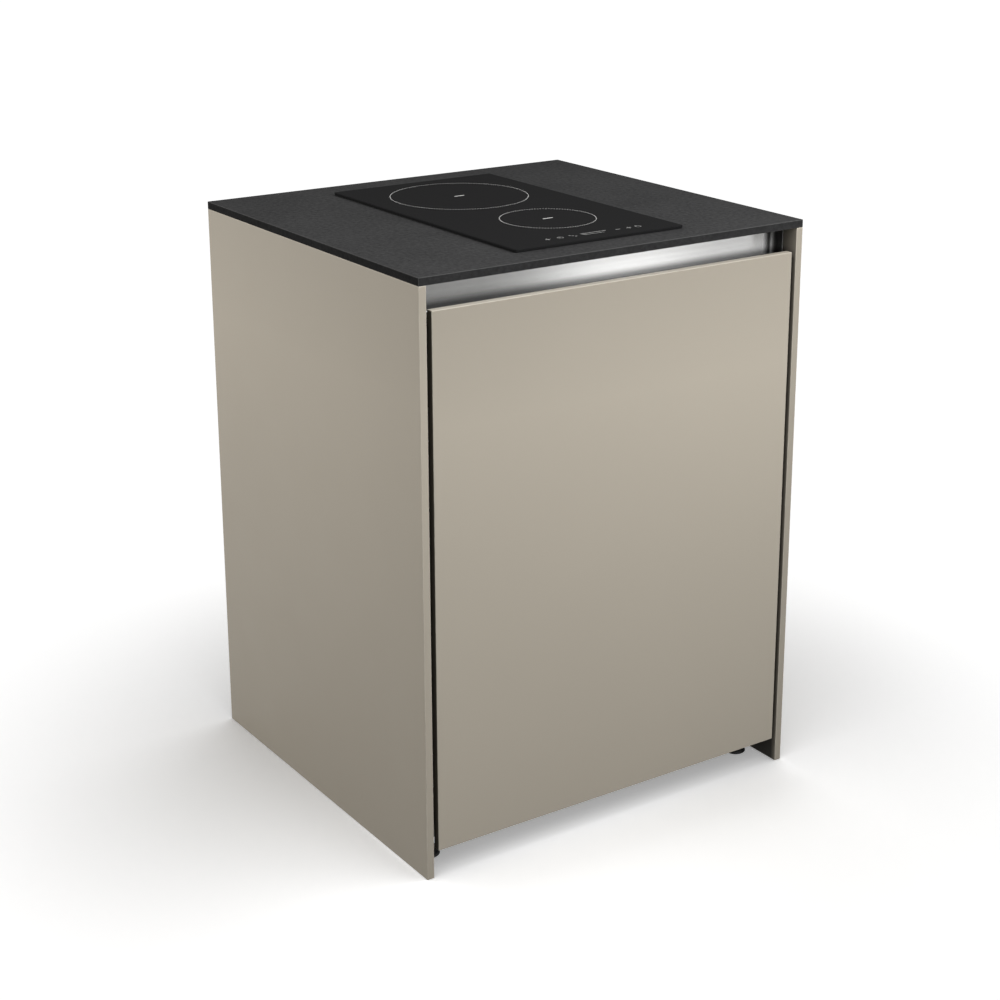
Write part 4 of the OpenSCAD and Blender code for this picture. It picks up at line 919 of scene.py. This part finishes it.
# %% Four feet
moulded_foot = join([pad, hexagon], "moulded_foot")
moulded_foot.data.materials.append(plastic.material)
threaded_rod = join([thread, rod], "threaded_rod")
threaded_rod.data.materials.append(zinc.material)
for name in FEET:
    low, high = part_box(name)
    stand = Matrix.Translation(((low.x + high.x) / 2, (low.y + high.y) / 2, 0))
    for part, suffix, slot in ((moulded_foot, "_pad", "black_plastic"),
                               (threaded_rod, "_spindle", "zinc_steel")):
        twin = copy_at(part, stand)
        twin.name = name + suffix
        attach(twin, name)
        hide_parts(name)
for part in (moulded_foot, threaded_rod):
    bpy.data.objects.remove(part)

# %% [markdown]
# ## Floor
# A studio floor is one large plain sheet. It has to be large here, because the picture's upper
# edge looks only a few degrees below the horizon. To the camera, and in reflections, the sheet
# is paper white; the rest of the light sees it as a light grey, so that it does not throw too
# much light back up at the unit. Close to the unit less of the room's light reaches the sheet,
# and an ambient occlusion node says by how much.

# %% The sheet
FLOOR_HALF = 60.0
deselect()
bpy.ops.mesh.primitive_plane_add(size=2 * FLOOR_HALF, location=(0, 0, 0))
floor = named("floor")
print("the sheet is", 2 * FLOOR_HALF, "m wide")

# %% Paper white to the camera
FLOOR_GREY = (0.5, 0.5, 0.5)
WHITE = (1.0, 1.0, 1.0)


def seen_directly(tree):
    """1 for the camera, for reflections and for glass, and 0 for the rest of the light."""
    path = tree.nodes.new("ShaderNodeLightPath")
    seen = path.outputs["Is Camera Ray"]
    for kind in ("Is Glossy Ray", "Is Transmission Ray"):
        larger = tree.nodes.new("ShaderNodeMath")
        larger.operation = "MAXIMUM"
        tree.links.new(seen, larger.inputs[0])
        tree.links.new(path.outputs[kind], larger.inputs[1])
        seen = larger.outputs["Value"]
    return seen


ground = Finish("studio_floor", roughness=0.9, specular=0.0)
direct = seen_directly(ground.material.node_tree)
ground.colour(ground.blend(direct, FLOOR_GREY, WHITE))
ground.shader.inputs["Emission Color"].default_value = (*WHITE, 1.0)
print("the sheet gives", FLOOR_GREY[0], "of the light back, and looks white")

# %% [markdown]
# What the camera sees of the sheet is its white in the room's light, and on top of that a soft
# glow, which is the sum of three patches. The first is all round: it falls off where the unit
# hides the sky, and that is the shade round the unit. The second lies in front, where the
# picture's sheet stays pale up to the unit. The third fills the strip under the front's lower
# edge.

# %% The glow of the sheet
SHADOW_REACH = 0.62
FLOOR_GLOW = 0.607
FLOOR_FALL = 2.6
FRONT_GLOW = 0.94
FRONT_FALL = 1.67
FRONT_MIDDLE = (-0.104, -0.292)
FRONT_REACH = (0.426, 0.341)
UNDER_GLOW = 0.29
UNDER_START = -0.41
UNDER_FULL = -0.30
UNDER_FALL = 1.8
UNDER_BACK = (-0.24, -0.05)
UNDER_ENDS = (0.325, 0.35)
open_sky = ground.nodes.new("ShaderNodeAmbientOcclusion")
open_sky.samples = 8
open_sky.inputs["Distance"].default_value = SHADOW_REACH
openness = open_sky.outputs["AO"]
around = ground.math("MULTIPLY", ground.math("POWER", openness, FLOOR_FALL), FLOOR_GLOW)
from_middle = [ground.math("POWER", ground.math("DIVIDE", ground.math(
    "SUBTRACT", axis, middle), reach), 2.0)
    for axis, middle, reach in zip(ground.axes(), FRONT_MIDDLE, FRONT_REACH)]
near_front = ground.math("EXPONENT", ground.math("MULTIPLY", ground.math(
    "ADD", from_middle[0], from_middle[1]), -1.0))
in_front = ground.math("MULTIPLY", ground.math("POWER", openness, FRONT_FALL),
                       ground.math("MULTIPLY", near_front, FRONT_GLOW))
across, depth, _ = ground.axes()
under = ground.math("POWER", ground.ramp(depth, 0.0, 1.0, UNDER_START, UNDER_FULL), UNDER_FALL)
under = ground.math("MULTIPLY", under, ground.ramp(depth, UNDER_GLOW, 0.0, *UNDER_BACK))
under = ground.math("MULTIPLY", under, ground.ramp(ground.math("ABSOLUTE", across), 1.0, 0.0,
                                                   *UNDER_ENDS))
glow = ground.math("ADD", ground.math("ADD", around, in_front), under)
ground.links.new(ground.math("MULTIPLY", glow, direct), ground.shader.inputs["Emission Strength"])
floor.data.materials.append(ground.material)
print("the sheet's finish has", len(ground.nodes), "nodes")

# %% [markdown]
# ## Light
# The room is white: what the camera and the mirrors see of it has a strength of 1, and what it
# gives as light is less, because the lamps add the rest. The lamps are large soft panels, set
# from the picture's own tones: three behind and beside the left panel, a little warm, and
# three before the front. They light only the unit, so that the sheet keeps the room's soft
# shadow all round. Light linking says so: it names what a lamp leaves out.

# %% Room
ROOM_LIGHT = 0.439
world = bpy.data.worlds.new("studio")
world.use_nodes = True
bpy.context.scene.world = world
tree = world.node_tree
mixed = tree.nodes.new("ShaderNodeMixShader")
tree.links.new(seen_directly(tree), mixed.inputs["Fac"])
given, shown = tree.nodes["Background"], tree.nodes.new("ShaderNodeBackground")
for background, strength, socket in ((given, ROOM_LIGHT, mixed.inputs[1]),
                                     (shown, 1.0, mixed.inputs[2])):
    background.inputs["Color"].default_value = (*WHITE, 1.0)
    background.inputs["Strength"].default_value = strength
    tree.links.new(background.outputs[0], socket)
tree.links.new(mixed.outputs[0], tree.nodes["World Output"].inputs["Surface"])
print("the room lights the unit at", ROOM_LIGHT, "of its own white")

# %% Lamps
WARM = (1.0, 0.975, 0.94)


def all_but(name, *left_out):
    """A collection for light linking that stands for everything except a few pieces."""
    linked = bpy.data.collections.new(name)
    for position, piece in enumerate(left_out):
        linked.objects.link(piece)
        linked.collection_objects[position].light_linking.link_state = "EXCLUDE"
    return linked


def softbox(name, place, aim, power, size=(1.0, 1.0), tint=WHITE):
    """A rectangular panel of light at a place, turned towards a point."""
    lamp = bpy.data.lights.new(name, "AREA")
    lamp.color = tint
    lamp.shape = "RECTANGLE"
    lamp.size, lamp.size_y = size
    lamp.energy = power
    panel = bpy.data.objects.new(name, lamp)
    bpy.context.scene.collection.objects.link(panel)
    panel.location = place
    panel.rotation_euler = (Vector(aim) - Vector(place)).to_track_quat("-Z", "Y").to_euler()
    return panel


unit_lamps = (
    softbox("rear_left_low", (-2.0, 1.2, 1.3), (-0.3, 0.1, 0.6), power=22.7, tint=WARM),
    softbox("rear_left_high", (-1.5, 1.0, 2.0), (-0.3, 0.2, 0.7), power=4.1, tint=WARM),
    softbox("left_panel", (-1.5, -0.3, 1.9), (-0.3, 0, 0.7), power=5.6, tint=WARM),
    softbox("front_low", (0.3, -1.7, 1.9), (0, -0.3, 0.7), power=27.3),
    softbox("front_right", (1.1, -1.6, 1.7), (0.1, -0.3, 0.7), power=11.9),
    softbox("front_high", (0.4, -2.0, 3.2), (0, 0, 0.5), power=26.3, size=(1.5, 1.5)))
unit_only = all_but("lit_by_lamps", floor)
for lamp in unit_lamps:
    lamp.light_linking.receiver_collection = unit_only
    print(lamp.name, "gives", round(lamp.data.energy, 1), "W")

# %% [markdown]
# Brushed steel shows its shape by the highlight that runs along it, so the grip channel gets two
# tall panels of light of its own, off to the right, where the channel mirrors them to the
# camera. The narrow one makes the highlight, and the other carries it on to the channel's right
# end. The right panel and the front stand in their way, so their light is let past both.

# %% The channel's own light
channel_only = bpy.data.collections.new("lit_by_strip")
channel_only.objects.link(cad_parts["grip_channel"])
no_shade = all_but("strip_passes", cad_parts["right_side_panel"],
                   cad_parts["front_panel"])
channel_lamps = (
    softbox("channel_strip", (1.45, -2.2, 1.15), (0.05, -0.3, 0.87), power=10.4,
            size=(0.35, 1.4)),
    softbox("channel_fill", (2.0, -2.2, 1.15), (0.2, -0.3, 0.87), power=6.4, size=(0.5, 1.4)))
for lamp in channel_lamps:
    lamp.light_linking.receiver_collection = channel_only
    lamp.light_linking.blocker_collection = no_shade
